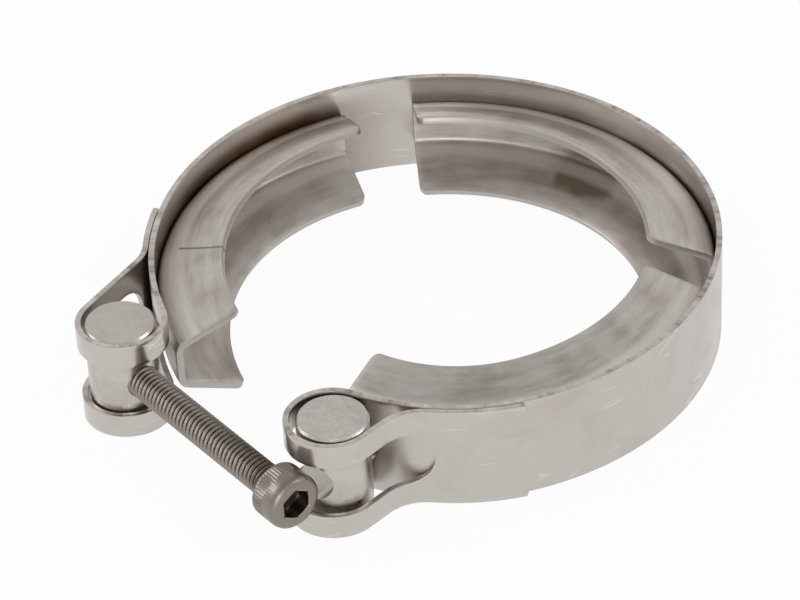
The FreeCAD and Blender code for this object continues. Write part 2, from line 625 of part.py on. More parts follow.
def build_slotted_trunnion():
    """The trunnion with an open slot that the screw swings into; the slot opens along its x."""
    body = placed_body("slotted_trunnion", "slotted_x", "slotted_y", "slot_angle")
    round_bar(body, "slotted")
    sketch = new_sketch(body, "slot_outline", "XZ_Plane")
    rise = number("half_slot")
    far = number("slot_depth")
    arc = Arc(sketch, ORIGIN, rise, 90, 270, True)
    top = sketch.addGeometry(Part.LineSegment(Vector(0, rise, 0), Vector(far, rise, 0)))
    side = sketch.addGeometry(Part.LineSegment(Vector(far, rise, 0), Vector(far, -rise, 0)))
    low = sketch.addGeometry(Part.LineSegment(Vector(far, -rise, 0), Vector(0, -rise, 0)))
    join(sketch, arc.start, (top, 1))
    join(sketch, arc.finish, (low, 2))
    sketch.addConstraint(Sketcher.Constraint("Coincident", top, 2, side, 1))
    sketch.addConstraint(Sketcher.Constraint("Coincident", side, 2, low, 1))
    sketch.addConstraint(Sketcher.Constraint("Horizontal", top))
    sketch.addConstraint(Sketcher.Constraint("Horizontal", low))
    sketch.addConstraint(Sketcher.Constraint("Vertical", side))
    sketch.addConstraint(Sketcher.Constraint("Coincident", *arc.centre, *ORIGIN_POINT))
    bind(sketch, "Radius", (arc.geo,), rise, cell("half_slot"))
    bind(sketch, "DistanceX", (-1, 1, side, 1), far, cell("slot_depth"))
    slot = body.newObject("PartDesign::Pocket", "slot")
    slot.Profile = sketch
    slot.Type = "ThroughAll"
    slot.Midplane = True
    changed(body, slot, False)
    return body


def build_screw():
    """The socket head cap screw; its x axis starts at the threaded trunnion's."""
    body = placed_body("screw", "threaded_x", "threaded_y", "screw_angle")
    sketch = new_sketch(body, "screw_section", "XY_Plane")
    rims = [("tip_place", "tip_radius"), ("tip_shoulder", "thread_radius"),
            ("screw_reach", "thread_radius"), ("screw_reach", "head_radius"),
            ("face_place", "head_radius")]
    corners = [Vector(number("tip_place"), 0, 0)]
    corners += [Vector(number(x), number(y), 0) for x, y in rims]
    corners += [Vector(number("face_place"), 0, 0)]
    count = len(corners)
    for index in range(count):
        sketch.addGeometry(Part.LineSegment(corners[index], corners[(index + 1) % count]))
    for index in range(count):
        sketch.addConstraint(Sketcher.Constraint("Coincident", index, 2, (index + 1) % count, 1))
    for index, (x, y) in enumerate(rims, start=1):
        pin_point(sketch, (index, 1), x, y)
    for index, x in ((0, "tip_place"), (count - 1, "face_place")):
        sketch.addConstraint(Sketcher.Constraint("PointOnObject", index, 1, -1))
        bind(sketch, "DistanceX", (-1, 1, index, 1), number(x), cell(x))
    turned = body.newObject("PartDesign::Revolution", "screw_turned")
    turned.Profile = sketch
    turned.ReferenceAxis = (sketch, ["H_Axis"])
    turned.Angle = 360
    doc.recompute()

    face = number("face_place")
    rim = [f"Edge{index + 1}" for index, edge in enumerate(turned.Shape.Edges)
           if all(abs(vertex.Point.x - face) < 1e-6 for vertex in edge.Vertexes)
           and abs(edge.Length - 2 * math.pi * number("head_radius")) < 1e-3]
    broken = body.newObject("PartDesign::Chamfer", "head_edge")
    broken.Base = (turned, rim)
    broken.setExpression("Size", cell("head_chamfer"))
    doc.recompute()

    socket = new_sketch(body, "socket_outline", "YZ_Plane")
    socket.AttachmentOffset = Placement(Vector(0, 0, 1), Rotation())
    socket.setExpression("AttachmentOffset.Base.z", cell("face_place"))
    hexagon = [("socket_side", "half_socket"), ("-socket_side", "half_socket"),
               ("-socket_corner", None), ("-socket_side", "-half_socket"),
               ("socket_side", "-half_socket"), ("socket_corner", None)]
    corners = [Vector(number(x), number(y) if y else 0, 0) for x, y in hexagon]
    for index in range(6):
        socket.addGeometry(Part.LineSegment(corners[index], corners[(index + 1) % 6]))
    for index, (x, y) in enumerate(hexagon):
        socket.addConstraint(Sketcher.Constraint("Coincident", index, 2, (index + 1) % 6, 1))
        if y:
            pin_point(socket, (index, 1), x, y)
        else:
            socket.addConstraint(Sketcher.Constraint("PointOnObject", index, 1, -1))
            bind(socket, "DistanceX", (-1, 1, index, 1), number(x), cell(x))
    recess = body.newObject("PartDesign::Pocket", "hexagon_socket")
    recess.Profile = socket
    recess.setExpression("Length", cell("socket_depth"))
    changed(body, recess, False)
    return body


bodies = [
    build_strap(),
    build_segment("left_segment", "left_start_angle", "left_end_angle", "threaded"),
    build_segment("back_segment", "back_start_angle", "back_end_angle", None),
    build_segment("front_segment", "front_start_angle", "front_end_angle", "slotted"),
    build_threaded_trunnion(),
    build_slotted_trunnion(),
    build_screw(),
]

doc.recompute()

for item in doc.Objects:
    if "Invalid" in item.State or "Error" in item.State:
        raise RuntimeError(f"{item.Name} failed: {item.State}")
for body in bodies:
    if body.Shape.isNull() or not body.Shape.isValid():
        raise RuntimeError(f"{body.Label} has no valid shape")

os.makedirs("parts", exist_ok=True)
for body in bodies:
    body.Shape.exportStep(f"parts/{body.Label}.step")
    print(body.Label, round(body.Shape.Volume, 1), len(body.Shape.Solids), body.Shape.BoundBox)
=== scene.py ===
import math
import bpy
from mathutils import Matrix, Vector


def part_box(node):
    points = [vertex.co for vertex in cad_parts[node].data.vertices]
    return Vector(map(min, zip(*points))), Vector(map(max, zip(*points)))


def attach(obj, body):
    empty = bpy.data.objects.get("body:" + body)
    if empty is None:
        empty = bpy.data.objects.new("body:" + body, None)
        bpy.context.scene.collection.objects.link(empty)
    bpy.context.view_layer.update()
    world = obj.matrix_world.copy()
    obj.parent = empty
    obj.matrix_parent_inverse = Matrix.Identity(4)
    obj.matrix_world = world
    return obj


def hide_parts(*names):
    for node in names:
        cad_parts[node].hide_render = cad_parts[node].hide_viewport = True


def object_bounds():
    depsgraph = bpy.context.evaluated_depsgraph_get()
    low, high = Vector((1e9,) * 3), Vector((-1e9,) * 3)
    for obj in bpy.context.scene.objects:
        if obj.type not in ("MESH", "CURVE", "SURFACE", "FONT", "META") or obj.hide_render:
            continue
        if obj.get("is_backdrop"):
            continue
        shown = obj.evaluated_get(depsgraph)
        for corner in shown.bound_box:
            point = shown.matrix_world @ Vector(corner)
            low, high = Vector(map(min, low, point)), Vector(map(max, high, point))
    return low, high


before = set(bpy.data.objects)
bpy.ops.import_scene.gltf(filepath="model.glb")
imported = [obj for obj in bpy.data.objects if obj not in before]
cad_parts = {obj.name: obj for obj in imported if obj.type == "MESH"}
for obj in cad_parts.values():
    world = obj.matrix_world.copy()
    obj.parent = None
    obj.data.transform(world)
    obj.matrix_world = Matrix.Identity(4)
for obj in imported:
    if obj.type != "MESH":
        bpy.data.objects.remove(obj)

from types import SimpleNamespace

import bmesh
import bpy
from mathutils import Matrix, Vector

bl_info = {
    "name": "V Band Clamp",
    "version": (1, 0, 0),
    "blender": (4, 5, 0),
    "location": "3D View > Sidebar > V Band Clamp",
    "description": "Dresses the model of a V band clamp",
    "category": "Object",
}

MM = 0.001
TURN = 2 * math.pi
SIDE = {"threaded": -1, "slotted": 1}

# Decimals that a size has, in mm or degrees.
DIGITS = 4

# Tolerances in mm: how near a cut may pass to a point, and how near two points are one.
CUT = 1e-4
MERGE = 1e-3

# The strap is cut at least this often along its straights, in mm, and its arcs, in degrees,
# and at these heights above its middle, in mm.
STRAP_STEP = 1.6
STRAP_TURN = 4.0
STRAP_ROWS = (6.0, 7.4, 8.8)

# Steps along a segment and round its bends, and its other cuts from the sheet's middle, in mm.
SEGMENT_STEPS = 64
BEND_STEPS = 5
SEGMENT_ROWS = (1.5, 8.0, 11.0)

# Steps in each rounded corner, in half a window's end and in half a tail's end.
CORNER_STEPS = 6
WINDOW_STEPS = 12
TAIL_STEPS = 10

# Steps in a turn of the thread and in one ridge of the knurl.
THREAD_STEPS = 28
RIDGE_STEPS = 4

# Edges that turn by more than these angles, in degrees, are rims or are shaded as sharp.
RIM_ANGLE = 50
SHEET_SHARP = 40
SCREW_SHARP = 35

# The point that the view turns about, in mm, and the half-width of the floor, in m.
VIEW_TARGET = Vector((-0.75, -9.03, 0))
FLOOR_SIZE = 3.0

# Each soft box has its place and its side in m, and its power in W.
SOFT_BOXES = (
    ("left soft box", (-0.75, -0.45, 0.55), 0.45, 1.6),
    ("right soft box", (0.7, 0.55, 0.6), 0.45, 1.3),
    ("front soft box", (0.66, -0.68, 0.26), 0.5, 2.2),
)


# --- properties -----------------------------------------------------------------------------

def length(name, description, default):
    """A length, given in millimetres and kept in metres."""
    return bpy.props.FloatProperty(name=name, description=description, default=default * MM,
                                   min=0.0, precision=5, unit="LENGTH")


def shift(name, description, default):
    """A distance that may be negative, given in millimetres and kept in metres."""
    return bpy.props.FloatProperty(name=name, description=description, default=default * MM,
                                   precision=5, unit="LENGTH")


def degrees(name, description, default):
    """An angle, given in degrees and kept in radians."""
    return bpy.props.FloatProperty(name=name, description=description,
                                   default=math.radians(default), precision=3,
                                   subtype="ANGLE")


def colour(name, description, default):
    """A colour as an sRGB hex value."""
    return bpy.props.StringProperty(name=name, description=description, default=default)


class StrapSizes(bpy.types.PropertyGroup):
    """Sizes of the strap's strip and of its two looped ends."""

    radius: length("Mid-line radius", "Radius of the ring's mid-line", 49.5)
    thickness: length("Thickness", "Strip thickness", 1.0)
    width: length("Width", "Strip width", 19.4)
    gap: length("Layer gap", "Gap between the strap and its folded tail", 0.15)
    release: degrees("Release angle", "Direction in which each end leaves the circle", 64.0)
    bend: length("Reverse bend", "Mid-line radius of the tail's reverse bend", 8.5)
    loop: length("Loop radius", "Mid-line radius of the loops", 7.45)
    window: length("Window height", "Height of the windows through the loops", 10.4)
    bulge: length("Tail bulge", "How far a tail's rounded end stands out", 1.7)
    edge: length("Edge rounding", "Rounding of the sheared edges", 0.12)


class ThreadedEndSizes(bpy.types.PropertyGroup):
    """Sizes of the looped end that holds the threaded trunnion."""

    offset: length("Offset", "Sideways place of the loop's centre", 24.9)
    standoff: shift("Standoff", "How far the loop stands outside the ring", 1.35)
    straight: length("Straight", "Straight run up to the reverse bend", 14.9)
    lap: length("Lap", "Length of the tail that lies on the strap", 13.1)
    tail_window: shift("Window in the tail", "How far the window passes the throat", -4.5)
    inner_window: shift("Window inside", "The same for the layer underneath", -4.5)


class SlottedEndSizes(bpy.types.PropertyGroup):
    """Sizes of the looped end that holds the slotted trunnion."""

    offset: length("Offset", "Sideways place of the loop's centre", 21.0)
    standoff: shift("Standoff", "How far the loop stands outside the ring", -3.5)
    straight: length("Straight", "Straight run up to the reverse bend", 4.8)
    lap: length("Lap", "Length of the tail that lies on the strap", 17.7)
    tail_window: shift("Window in the tail", "How far the window passes the throat", 0.9)
    inner_window: shift("Window inside", "The same for the layer underneath", -9.0)


class SegmentSizes(bpy.types.PropertyGroup):
    """Sizes of the V segments' bent section."""

    sheet: length("Sheet", "Sheet thickness", 1.3)
    web: length("Web radius", "Outer radius of the web", 48.95)
    bend: length("Bend", "Inner bend radius", 1.0)
    corner: length("Corner", "Corner radius at the ends of the flanks", 1.8)
    flank: degrees("Flank angle", "Angle of the flanks from the ring's plane", 20.0)
    mouth: length("Mouth radius", "Radius of the free edges", 37.0)
    height: length("Mouth height", "Height between the flanks at the mouth", 14.8)
    left_start: degrees("Left start", "Direction of the left segment's end by its loop", 24.8)
    left_end: degrees("Left end", "Polar angle of the left segment's far end", 153.3)
    back_start: degrees("Back start", "Polar angle of the back segment's left end", 137.5)
    back_end: degrees("Back end", "Polar angle of the back segment's right end", 40.0)
    front_start: degrees("Front start", "Polar angle of the front segment's far end", 27.9)
    front_end: degrees("Front end", "Direction of the front segment's end by its loop", 7.2)


class ScrewSizes(bpy.types.PropertyGroup):
    """Sizes of the socket head cap screw."""

    angle: degrees("Angle", "Direction of the screw about the ring's axis", -9.0146)
    tip: shift("Tip", "Place of the tip from the trunnion's axis", -6.6)
    length: length("Length", "Length under the head", 50.0)
    thread: length("Thread", "Outside diameter of the thread", 5.88)
    root: length("Root", "Root diameter of the thread", 4.9)
    pitch: length("Pitch", "Pitch of the thread", 1.0)
    head: length("Head", "Outside diameter of the head", 10.0)
    height: length("Head height", "Height of the head", 6.0)
    socket: length("Socket", "Width across the flats of the socket", 5.0)
    depth: length("Socket depth", "Depth of the socket", 3.0)
    ridges: bpy.props.IntProperty(name="Ridges", description="Knurl ridges round the head",
                                  default=54, min=8)
    knurl: length("Knurl depth", "Depth of the knurl", 0.16)


class FinishColours(bpy.types.PropertyGroup):
    """Colours of the four kinds of steel."""

    strip: colour("Strip", "Clean cold rolled strip", "#C6C0BB")
    smudge: colour("Smudge", "Smudges on the strip", "#BEB7B1")
    # Painted reflection of the left V segment's flank on the strap's inner side.
    segment_reflection: colour("Reflection tint", "Brown tint inside the strap", "#6E5238")
    sheet_dark: colour("Sheet, dark", "Darkest streaks on the pressed sheet", "#AFA8A1")
    sheet: colour("Sheet", "Pressed sheet", "#C1BBB5")
    sheet_light: colour("Sheet, light", "Lightest streaks on the pressed sheet", "#CCC7C2")
    stain: colour("Stain", "Brown stain on the back segment", "#7D735F")
    bar_dark: colour("Bar, dark", "Darkest clouds on the turned bar", "#B5AEA8")
    bar: colour("Bar", "Turned bar", "#C2BCB7")
    bar_light: colour("Bar, light", "Lightest clouds on the turned bar", "#CAC5C0")
    # Painted shade in the thread's grooves and the socket.
    groove_shade: colour("Painted shade", "Grime in the screw's thread and socket", "#3F372F")
    screw: colour("Screw", "Plain surface of the screw", "#857B70")
    # Painted highlight on the thread towards its crests.
    crest_sheen: colour("Highlighted screw", "Highlighted parts of the screw", "#A39A90")


class StageSizes(bpy.types.PropertyGroup):
    """The view."""

    lens: bpy.props.FloatProperty(name="Lens", description="Focal length", default=179.7,
                                  unit="CAMERA")
    azimuth: degrees("Azimuth", "Direction of the view round the ring's axis", 44.30)
    elevation: degrees("Elevation", "Height of the view above the horizon", 37.156)
    roll: degrees("Roll", "Turn of the view about its own axis", -2.863)
    distance: length("Distance", "Distance from the ring's centre", 700.0)


# --- helpers --------------------------------------------------------------------------------

def sizes(name):
    """A group's values, with lengths in millimetres and angles in degrees.

    Blender keeps them in single precision, so the digits past it are rounded off."""
    group = getattr(bpy.context.scene, name)
    values = {}
    for key, kind in group.bl_rna.properties.items():
        if key in ("rna_type", "name"):
            continue
        value = getattr(group, key)
        if kind.unit == "LENGTH":
            value = round(value / MM, DIGITS)
        elif kind.unit == "ROTATION":
            value = round(math.degrees(value), DIGITS)
        values[key] = value
    return SimpleNamespace(**values)


def polar(angle, radius=1.0, height=0.0):
    """A point at a polar angle in degrees."""
    turn = math.radians(angle)
    return Vector((radius * math.cos(turn), radius * math.sin(turn), height))


def bearing(vector):
    """The polar angle of a vector, in degrees."""
    return math.degrees(math.atan2(vector.y, vector.x))


def linear(code):
    """An sRGB hex colour as linear RGBA."""
    parts = [int(code[i:i + 2], 16) / 255 for i in (1, 3, 5)]
    return [c / 12.92 if c <= 0.04045 else ((c + 0.055) / 1.055) ** 2.4 for c in parts] + [1.0]


def finish_piece(bm, name, material, body, slot, *nodes):
    """Makes an object of a mesh in millimetres, dresses it and ties it to the frame."""
    bmesh.ops.scale(bm, vec=(MM, MM, MM), verts=bm.verts)
    mesh = bpy.data.meshes.new(name)
    bm.to_mesh(mesh)
    bm.free()
    piece = bpy.data.objects.new(name, mesh)
    bpy.context.scene.collection.objects.link(piece)
    mesh.materials.append(material)
    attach(piece, body)
    if nodes:
        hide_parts(*nodes)
    return piece


def smooth(bm, angle):
    """Smooth shading, with sharp edges where faces meet at more than an angle in degrees."""
    for face in bm.faces:
        face.smooth = True
    for edge in bm.edges:
        if len(edge.link_faces) == 2:
            edge.smooth = edge.calc_face_angle(0.0) < math.radians(angle)


# --- the strap's path -----------------------------------------------------------------------

class Path:
    """A run of arcs and straights in the ring's plane, read by the distance along it."""

    def __init__(self):
        self.runs = []
        self.total = 0.0

    def arc(self, centre, radius, start, finish, sense):
        """An arc between two polar angles, anticlockwise where sense is 1."""
        while (finish - start) * sense <= 0:
            finish += 360 * sense
        while (finish - start) * sense > 360:
            finish -= 360 * sense
        size = abs(math.radians(finish - start)) * radius
        self.runs.append((self.total, size, "arc", centre, radius, start, finish))
        self.total += size

    def line(self, start, finish):
        size = (finish - start).length
        self.runs.append((self.total, size, "line", start, finish))
        self.total += size

    def at(self, distance):
        """The point at a distance along the path, and the direction to the left of travel."""
        run = self.runs[0]
        for item in self.runs:
            if item[0] <= distance:
                run = item
        share = (distance - run[0]) / run[1]
        if run[2] == "line":
            along = (run[4] - run[3]).normalized()
            return run[3] + (run[4] - run[3]) * share, Vector((-along.y, along.x, 0))
        centre, radius, start, finish = run[3:]
        angle = start + (finish - start) * share
        outward = polar(angle)
        return centre + outward * radius, outward * (-1 if finish > start else 1)

    def stations(self, step, turn):
        """Places along the path, close enough for its straights and for its tightest arcs."""
        places = []
        for run in self.runs:
            size = step if run[2] == "line" else min(step, run[4] * math.radians(turn))
            count = max(1, math.ceil(run[1] / size))
            places += [run[0] + run[1] * i / count for i in range(count)]
        return places[1:]


def end_geometry(end):
    """Centres, radii and bearings of one end of the strap."""
    strap = sizes("clamp_strap")
    here = sizes(f"clamp_{end}")
    side = SIDE[end]
    ring = strap.radius
    reach = ring + strap.loop + here.standoff
    loop = Vector((side * here.offset, -math.sqrt(reach ** 2 - here.offset ** 2), 0))
    direction = math.degrees(math.asin(here.offset / reach))
    lean = reach * math.cos(math.radians(strap.release - direction))
    arc = (ring ** 2 + reach ** 2 - 2 * ring * lean - strap.loop ** 2) / (
        2 * (ring + strap.loop - lean))
    centre = polar(-90 + side * strap.release, ring - arc)
    tail = arc + strap.thickness + strap.gap
    away = loop - centre
    far = tail + strap.bend
    apart = math.hypot(here.straight, strap.bend + strap.loop)
    opening = math.acos((away.length ** 2 + far ** 2 - apart ** 2) / (2 * away.length * far))
    throat = bearing(away) + side * math.degrees(opening)
    bend = centre + polar(throat, far)
    across = loop - bend
    slant = math.degrees(math.acos((strap.bend + strap.loop) / across.length))
    return {"arc": arc, "tail": tail, "centre": centre, "loop": loop, "throat": throat,
            "bend": bend, "normal": bearing(across) - side * slant, "touch": bearing(away),
            "release": -90 + side * strap.release,
            "close": throat + side * math.degrees(here.lap / tail)}


def strap_path():
    """The strap's mid-line, from the threaded end's tail round to the slotted end's."""
    strap = sizes("clamp_strap")
    path = Path()
    left = end_geometry("threaded")
    right = end_geometry("slotted")
    marks = {}
    path.arc(left["centre"], left["tail"], left["close"], left["throat"], 1)
    marks["left_throat"] = path.total
    path.arc(left["bend"], strap.bend, left["throat"] + 180, left["normal"], -1)
    path.line(left["bend"] + polar(left["normal"], strap.bend),
              left["loop"] - polar(left["normal"], strap.loop))
    path.arc(left["loop"], strap.loop, left["normal"] + 180, left["touch"] + 180, 1)
    marks["left_touch"] = path.total
    path.arc(left["centre"], left["arc"], left["touch"], left["release"], -1)
    marks["left_release"] = path.total
    path.arc(Vector(), strap.radius, left["release"], right["release"], -1)
    marks["right_release"] = path.total
    path.arc(right["centre"], right["arc"], right["release"], right["touch"], -1)
    marks["right_touch"] = path.total
    path.arc(right["loop"], strap.loop, right["touch"] + 180, right["normal"] + 180, 1)
    path.line(right["loop"] - polar(right["normal"], strap.loop),
              right["bend"] + polar(right["normal"], strap.bend))
    path.arc(right["bend"], strap.bend, right["normal"], right["throat"] + 180, -1)
    marks["right_throat"] = path.total
    path.arc(right["centre"], right["tail"], right["throat"], right["close"], 1)
    return path, marks, left, right


def under_throat(end):
    """Distance along the inner layer from where it leaves the loop to under the throat."""
    return abs(math.radians(end["throat"] - end["touch"])) * end["arc"]


# --- sheet work -----------------------------------------------------------------------------

def everything(bm):
    """All of a mesh, for the operators that cut and mirror it."""
    return bm.verts[:] + bm.edges[:] + bm.faces[:]


def flat_sheet(outline, along, across, thickness, rounding):
    """A flat sheet with rounded edges, in millimetres: x along the strip, y across it.

    The outline is the half above y = 0; the sheet is its mirror image below."""
    bm = bmesh.new()
    bm.faces.new([bm.verts.new((x, y, 0)) for x, y in outline])
    for axis, places in ((Vector((1, 0, 0)), along), (Vector((0, 1, 0)), across)):
        for place in places:
            bmesh.ops.bisect_plane(bm, geom=everything(bm), dist=CUT, plane_co=axis * place,
                                   plane_no=axis)
    bmesh.ops.mirror(bm, geom=everything(bm), axis="Y", merge_dist=CUT)
    bmesh.ops.remove_doubles(bm, verts=bm.verts, dist=MERGE)
    made = bmesh.ops.extrude_face_region(bm, geom=bm.faces[:], use_keep_orig=True)
    raised = [item for item in made["geom"] if isinstance(item, bmesh.types.BMVert)]
    bmesh.ops.translate(bm, vec=(0, 0, thickness), verts=raised)
    bmesh.ops.translate(bm, vec=(0, 0, -thickness / 2), verts=bm.verts)
    bmesh.ops.recalc_face_normals(bm, faces=bm.faces)
    sharp = math.radians(RIM_ANGLE)
    rims = [edge for edge in bm.edges
            if len(edge.link_faces) == 2 and edge.calc_face_angle(0.0) > sharp]
    bmesh.ops.bevel(bm, geom=rims, offset=rounding, offset_type="OFFSET", segments=2,
                    affect="EDGES", profile=0.5, material=-1, clamp_overlap=True)
    keep_flat_places(bm)
    return bm


def keep_flat_places(bm):
    """Keeps what the finishes need to know of the flat sheet.

    The UV map holds each corner's place in metres, `side` is 1 on the sheet's upper side and 0
    on its lower one, and `rim` is 1 on its cut edges."""
    flat = bm.loops.layers.uv.new("flat")
    side = bm.faces.layers.float.new("side")
    rim = bm.faces.layers.float.new("rim")
    bm.normal_update()
    for face in bm.faces:
        face[side] = 1.0 if face.normal.z > 0 else 0.0
        face[rim] = 1.0 if abs(face.normal.z) < 0.9 else 0.0
        for loop in face.loops:
            loop[flat].uv = (loop.vert.co.x * MM, loop.vert.co.y * MM)


def round_run(centre, radius, start, finish, count):
    """Points on an arc of an outline."""
    points = []
    for index in range(count + 1):
        turn = math.radians(start + (finish - start) * index / count)
        points.append((centre[0] + radius * math.cos(turn), centre[1] + radius * math.sin(turn)))
    return points


# --- materials ------------------------------------------------------------------------------

def add_node(tree, kind, settings=None, links=None):
    """Adds a node, sets its properties and sockets, and links sockets to other nodes.

    A link names a socket, or a node whose first output is meant. `ramp` holds a colour ramp's
    places and hex colours."""
    node = tree.nodes.new(kind)
    for name, value in (settings or {}).items():
        if name == "ramp":
            elements = node.color_ramp.elements
            while len(elements) < len(value):
                elements.new(1.0)
            for element, (place, code) in zip(elements, value):
                element.position = place
                element.color = linear(code)
        elif isinstance(name, int) or name in node.inputs:
            node.inputs[name].default_value = value
        else:
            setattr(node, name, value)
    for name, source in (links or {}).items():
        output = source.outputs[0] if isinstance(source, bpy.types.Node) else source
        tree.links.new(output, node.inputs[name])
    return node


def new_material(name):
    """A material with an empty node tree, and the tree."""
    material = bpy.data.materials.new(name)
    material.use_nodes = True
    material.node_tree.nodes.clear()
    return material, material.node_tree


def pattern_scale(size):
    """Noise scale for features of a size in millimetres on coordinates in metres."""
    return 1 / (size * MM)


def wave_scale(size):
    """Wave texture scale for bands of a size in millimetres on coordinates in metres.

    The texture repeats every 2 pi / 20 of a unit at a scale of 1."""
    return TURN / (20 * size * MM)


def finish_metal(tree, colour, rough, height, strength, depth):
    """Closes a metal's tree: its relief is as deep as given, in millimetres."""
    bump = add_node(tree, "ShaderNodeBump", {"Strength": strength, "Distance": depth * MM},
                    {"Height": height})
    shader = add_node(tree, "ShaderNodeBsdfPrincipled", {"Metallic": 1.0},
                      {"Base Color": colour, "Roughness": rough, "Normal": bump})
    add_node(tree, "ShaderNodeOutputMaterial", links={"Surface": shader})


def strip_steel():
    """Stainless strip, cold rolled and sheared.

    Rolling gives it faint lines along the strip and a satin shine, brighter on its inner side.
    Handling has left cloudy smudges and scratches, and shearing a torn, burred edge, mottled
    with painted shade and painted glints. A painted reflection of the left V segment tints the
    inner side brown beside it."""
    material, tree = new_material("stainless strip, cold rolled and sheared")
    shades = sizes("clamp_colours")
    flat = add_node(tree, "ShaderNodeUVMap", {"uv_map": "flat"})
    place = add_node(tree, "ShaderNodeSeparateXYZ", links={0: flat})
    side = add_node(tree, "ShaderNodeAttribute", {"attribute_name": "side"}).outputs["Fac"]
    rim = add_node(tree, "ShaderNodeAttribute", {"attribute_name": "rim"}).outputs["Fac"]
    # Rolling lines are about 0.02 mm wide; they are drawn at 0.22 mm so that they show.
    along = add_node(tree, "ShaderNodeMapping", {"Scale": (0.03, 1, 1)}, {"Vector": flat})
    rolled = add_node(tree, "ShaderNodeTexNoise",
                      {"Scale": pattern_scale(0.22), "Detail": 3.0, "Roughness": 0.6},
                      {"Vector": along})
    clouds = add_node(tree, "ShaderNodeTexNoise",
                      {"Scale": pattern_scale(11), "Detail": 5.0, "Roughness": 0.55,
                       "Distortion": 0.6}, {"Vector": flat})
    smudges = add_node(tree, "ShaderNodeMapRange",
                       {"From Min": 0.5, "From Max": 0.72}, {"Value": clouds})
    # Scratches are the edges of long slanted cells, kept in only a few places.
    slanted = add_node(tree, "ShaderNodeMapping",
                       {"Rotation": (0, 0, 0.7), "Scale": (0.12, 1, 1)}, {"Vector": flat})
    cracks = add_node(tree, "ShaderNodeTexVoronoi",
                      {"feature": "DISTANCE_TO_EDGE", "Scale": pattern_scale(3.4)},
                      {"Vector": slanted})
    thin = add_node(tree, "ShaderNodeMapRange",
                    {"From Min": 0.0, "From Max": 0.018, "To Min": 1.0, "To Max": 0.0},
                    {"Value": cracks})
    few = add_node(tree, "ShaderNodeMapRange",
                   {"From Min": 0.56, "From Max": 0.62},
                   {"Value": add_node(tree, "ShaderNodeTexNoise",
                                      {"Scale": pattern_scale(6), "Detail": 1.0},
                                      {"Vector": flat})})
    scratches = add_node(tree, "ShaderNodeMath", {"operation": "MULTIPLY"}, {0: thin, 1: few})
    # Painted reflection: the left V segment's brown flank is painted on the inner side, deepest
    # where that segment's bend meets it.
    upper = add_node(tree, "ShaderNodeMapRange",
                     {"interpolation_type": "SMOOTHSTEP", "From Min": 0.0054,
                      "From Max": 0.0086, "To Min": 1.0, "To Max": 0.0},
                     {"Value": place.outputs["Y"]})
    marks = strap_path()[1]
    reflection_place = 25.0  # mm along the strip from where it joins the ring's circle
    middle = (marks["left_release"] + reflection_place) * MM
    from_reflection = add_node(tree, "ShaderNodeMath", {"operation": "SUBTRACT", 1: middle},
                         {0: place.outputs["X"]})
    distance = add_node(tree, "ShaderNodeMath", {"operation": "ABSOLUTE"}, {0: from_reflection})
    near = add_node(tree, "ShaderNodeMapRange",
                    {"interpolation_type": "SMOOTHSTEP", "From Min": 0.01, "From Max": 0.034,
                     "To Min": 1.0, "To Max": 0.0}, {"Value": distance})
    reflecting = add_node(tree, "ShaderNodeMath", {"operation": "MULTIPLY"}, {0: upper, 1: near})
    patchy = add_node(tree, "ShaderNodeMath", {"operation": "MULTIPLY_ADD", 1: 0.8, 2: 0.4},
                      {0: clouds})
    inner = add_node(tree, "ShaderNodeMath", {"operation": "SUBTRACT", 0: 1.0}, {1: side})
    segment_reflection = add_node(tree, "ShaderNodeMath", {"operation": "MULTIPLY"},
                    {0: add_node(tree, "ShaderNodeMath", {"operation": "MULTIPLY"},
                                 {0: reflecting, 1: patchy}), 1: inner})
    clean = add_node(tree, "ShaderNodeMix",
                     {"data_type": "RGBA", 6: linear(shades.strip), 7: linear(shades.smudge)},
                     {0: smudges}).outputs[2]
    marked = add_node(tree, "ShaderNodeMix",
                      {"data_type": "RGBA", 7: linear("#DCD7D2")},
                      {0: scratches, 6: clean}).outputs[2]
    # Painted reflection: the inner side turns brown here.
    reflection_tinted = add_node(tree, "ShaderNodeMix", {"data_type": "RGBA", 7: linear(shades.segment_reflection)},
                      {0: segment_reflection, 6: marked}).outputs[2]
    # Burrs are about 0.1 mm across; they are drawn 0.5 mm across and 3 mm long.
    torn = add_node(tree, "ShaderNodeTexNoise",
                    {"Scale": pattern_scale(0.5), "Detail": 4.0, "Roughness": 0.7},
                    {"Vector": add_node(tree, "ShaderNodeMapping", {"Scale": (0.16, 1, 1)},
                                        {"Vector": flat})})
    # The cut edge's mottled dark and light colour is painted shade and painted glints, laid on the
    # same noise as the burr relief.
    burrs_and_glints = add_node(tree, "ShaderNodeValToRGB",
                     {"ramp": [(0.3, "#8C847D"), (0.45, "#BFB8B2"), (0.7, "#DCD7D2")]},
                     {0: torn})
    colour = add_node(tree, "ShaderNodeMix", {"data_type": "RGBA"},
                      {0: rim, 6: reflection_tinted, 7: burrs_and_glints}).outputs[2]
    satin = add_node(tree, "ShaderNodeMath", {"operation": "MULTIPLY_ADD", 1: 0.1, 2: 0.2},
                     {0: side})
    dulled = add_node(tree, "ShaderNodeMath", {"operation": "MULTIPLY_ADD", 1: 0.07},
                      {0: smudges, 2: satin})
    rough = add_node(tree, "ShaderNodeMath", {"operation": "MULTIPLY_ADD", 1: 0.14},
                     {0: rim, 2: dulled})
    relief = add_node(tree, "ShaderNodeMath", {"operation": "MULTIPLY_ADD", 1: 1.5},
                      {0: scratches, 2: rolled})
    edge_relief = add_node(tree, "ShaderNodeMix", {"data_type": "FLOAT"},
                           {0: rim, 2: relief, 3: add_node(
                               tree, "ShaderNodeMath", {"operation": "MULTIPLY", 1: 5.0},
                               {0: torn})})
    finish_metal(tree, colour, rough, edge_relief, strength=0.5, depth=0.004)
    return material


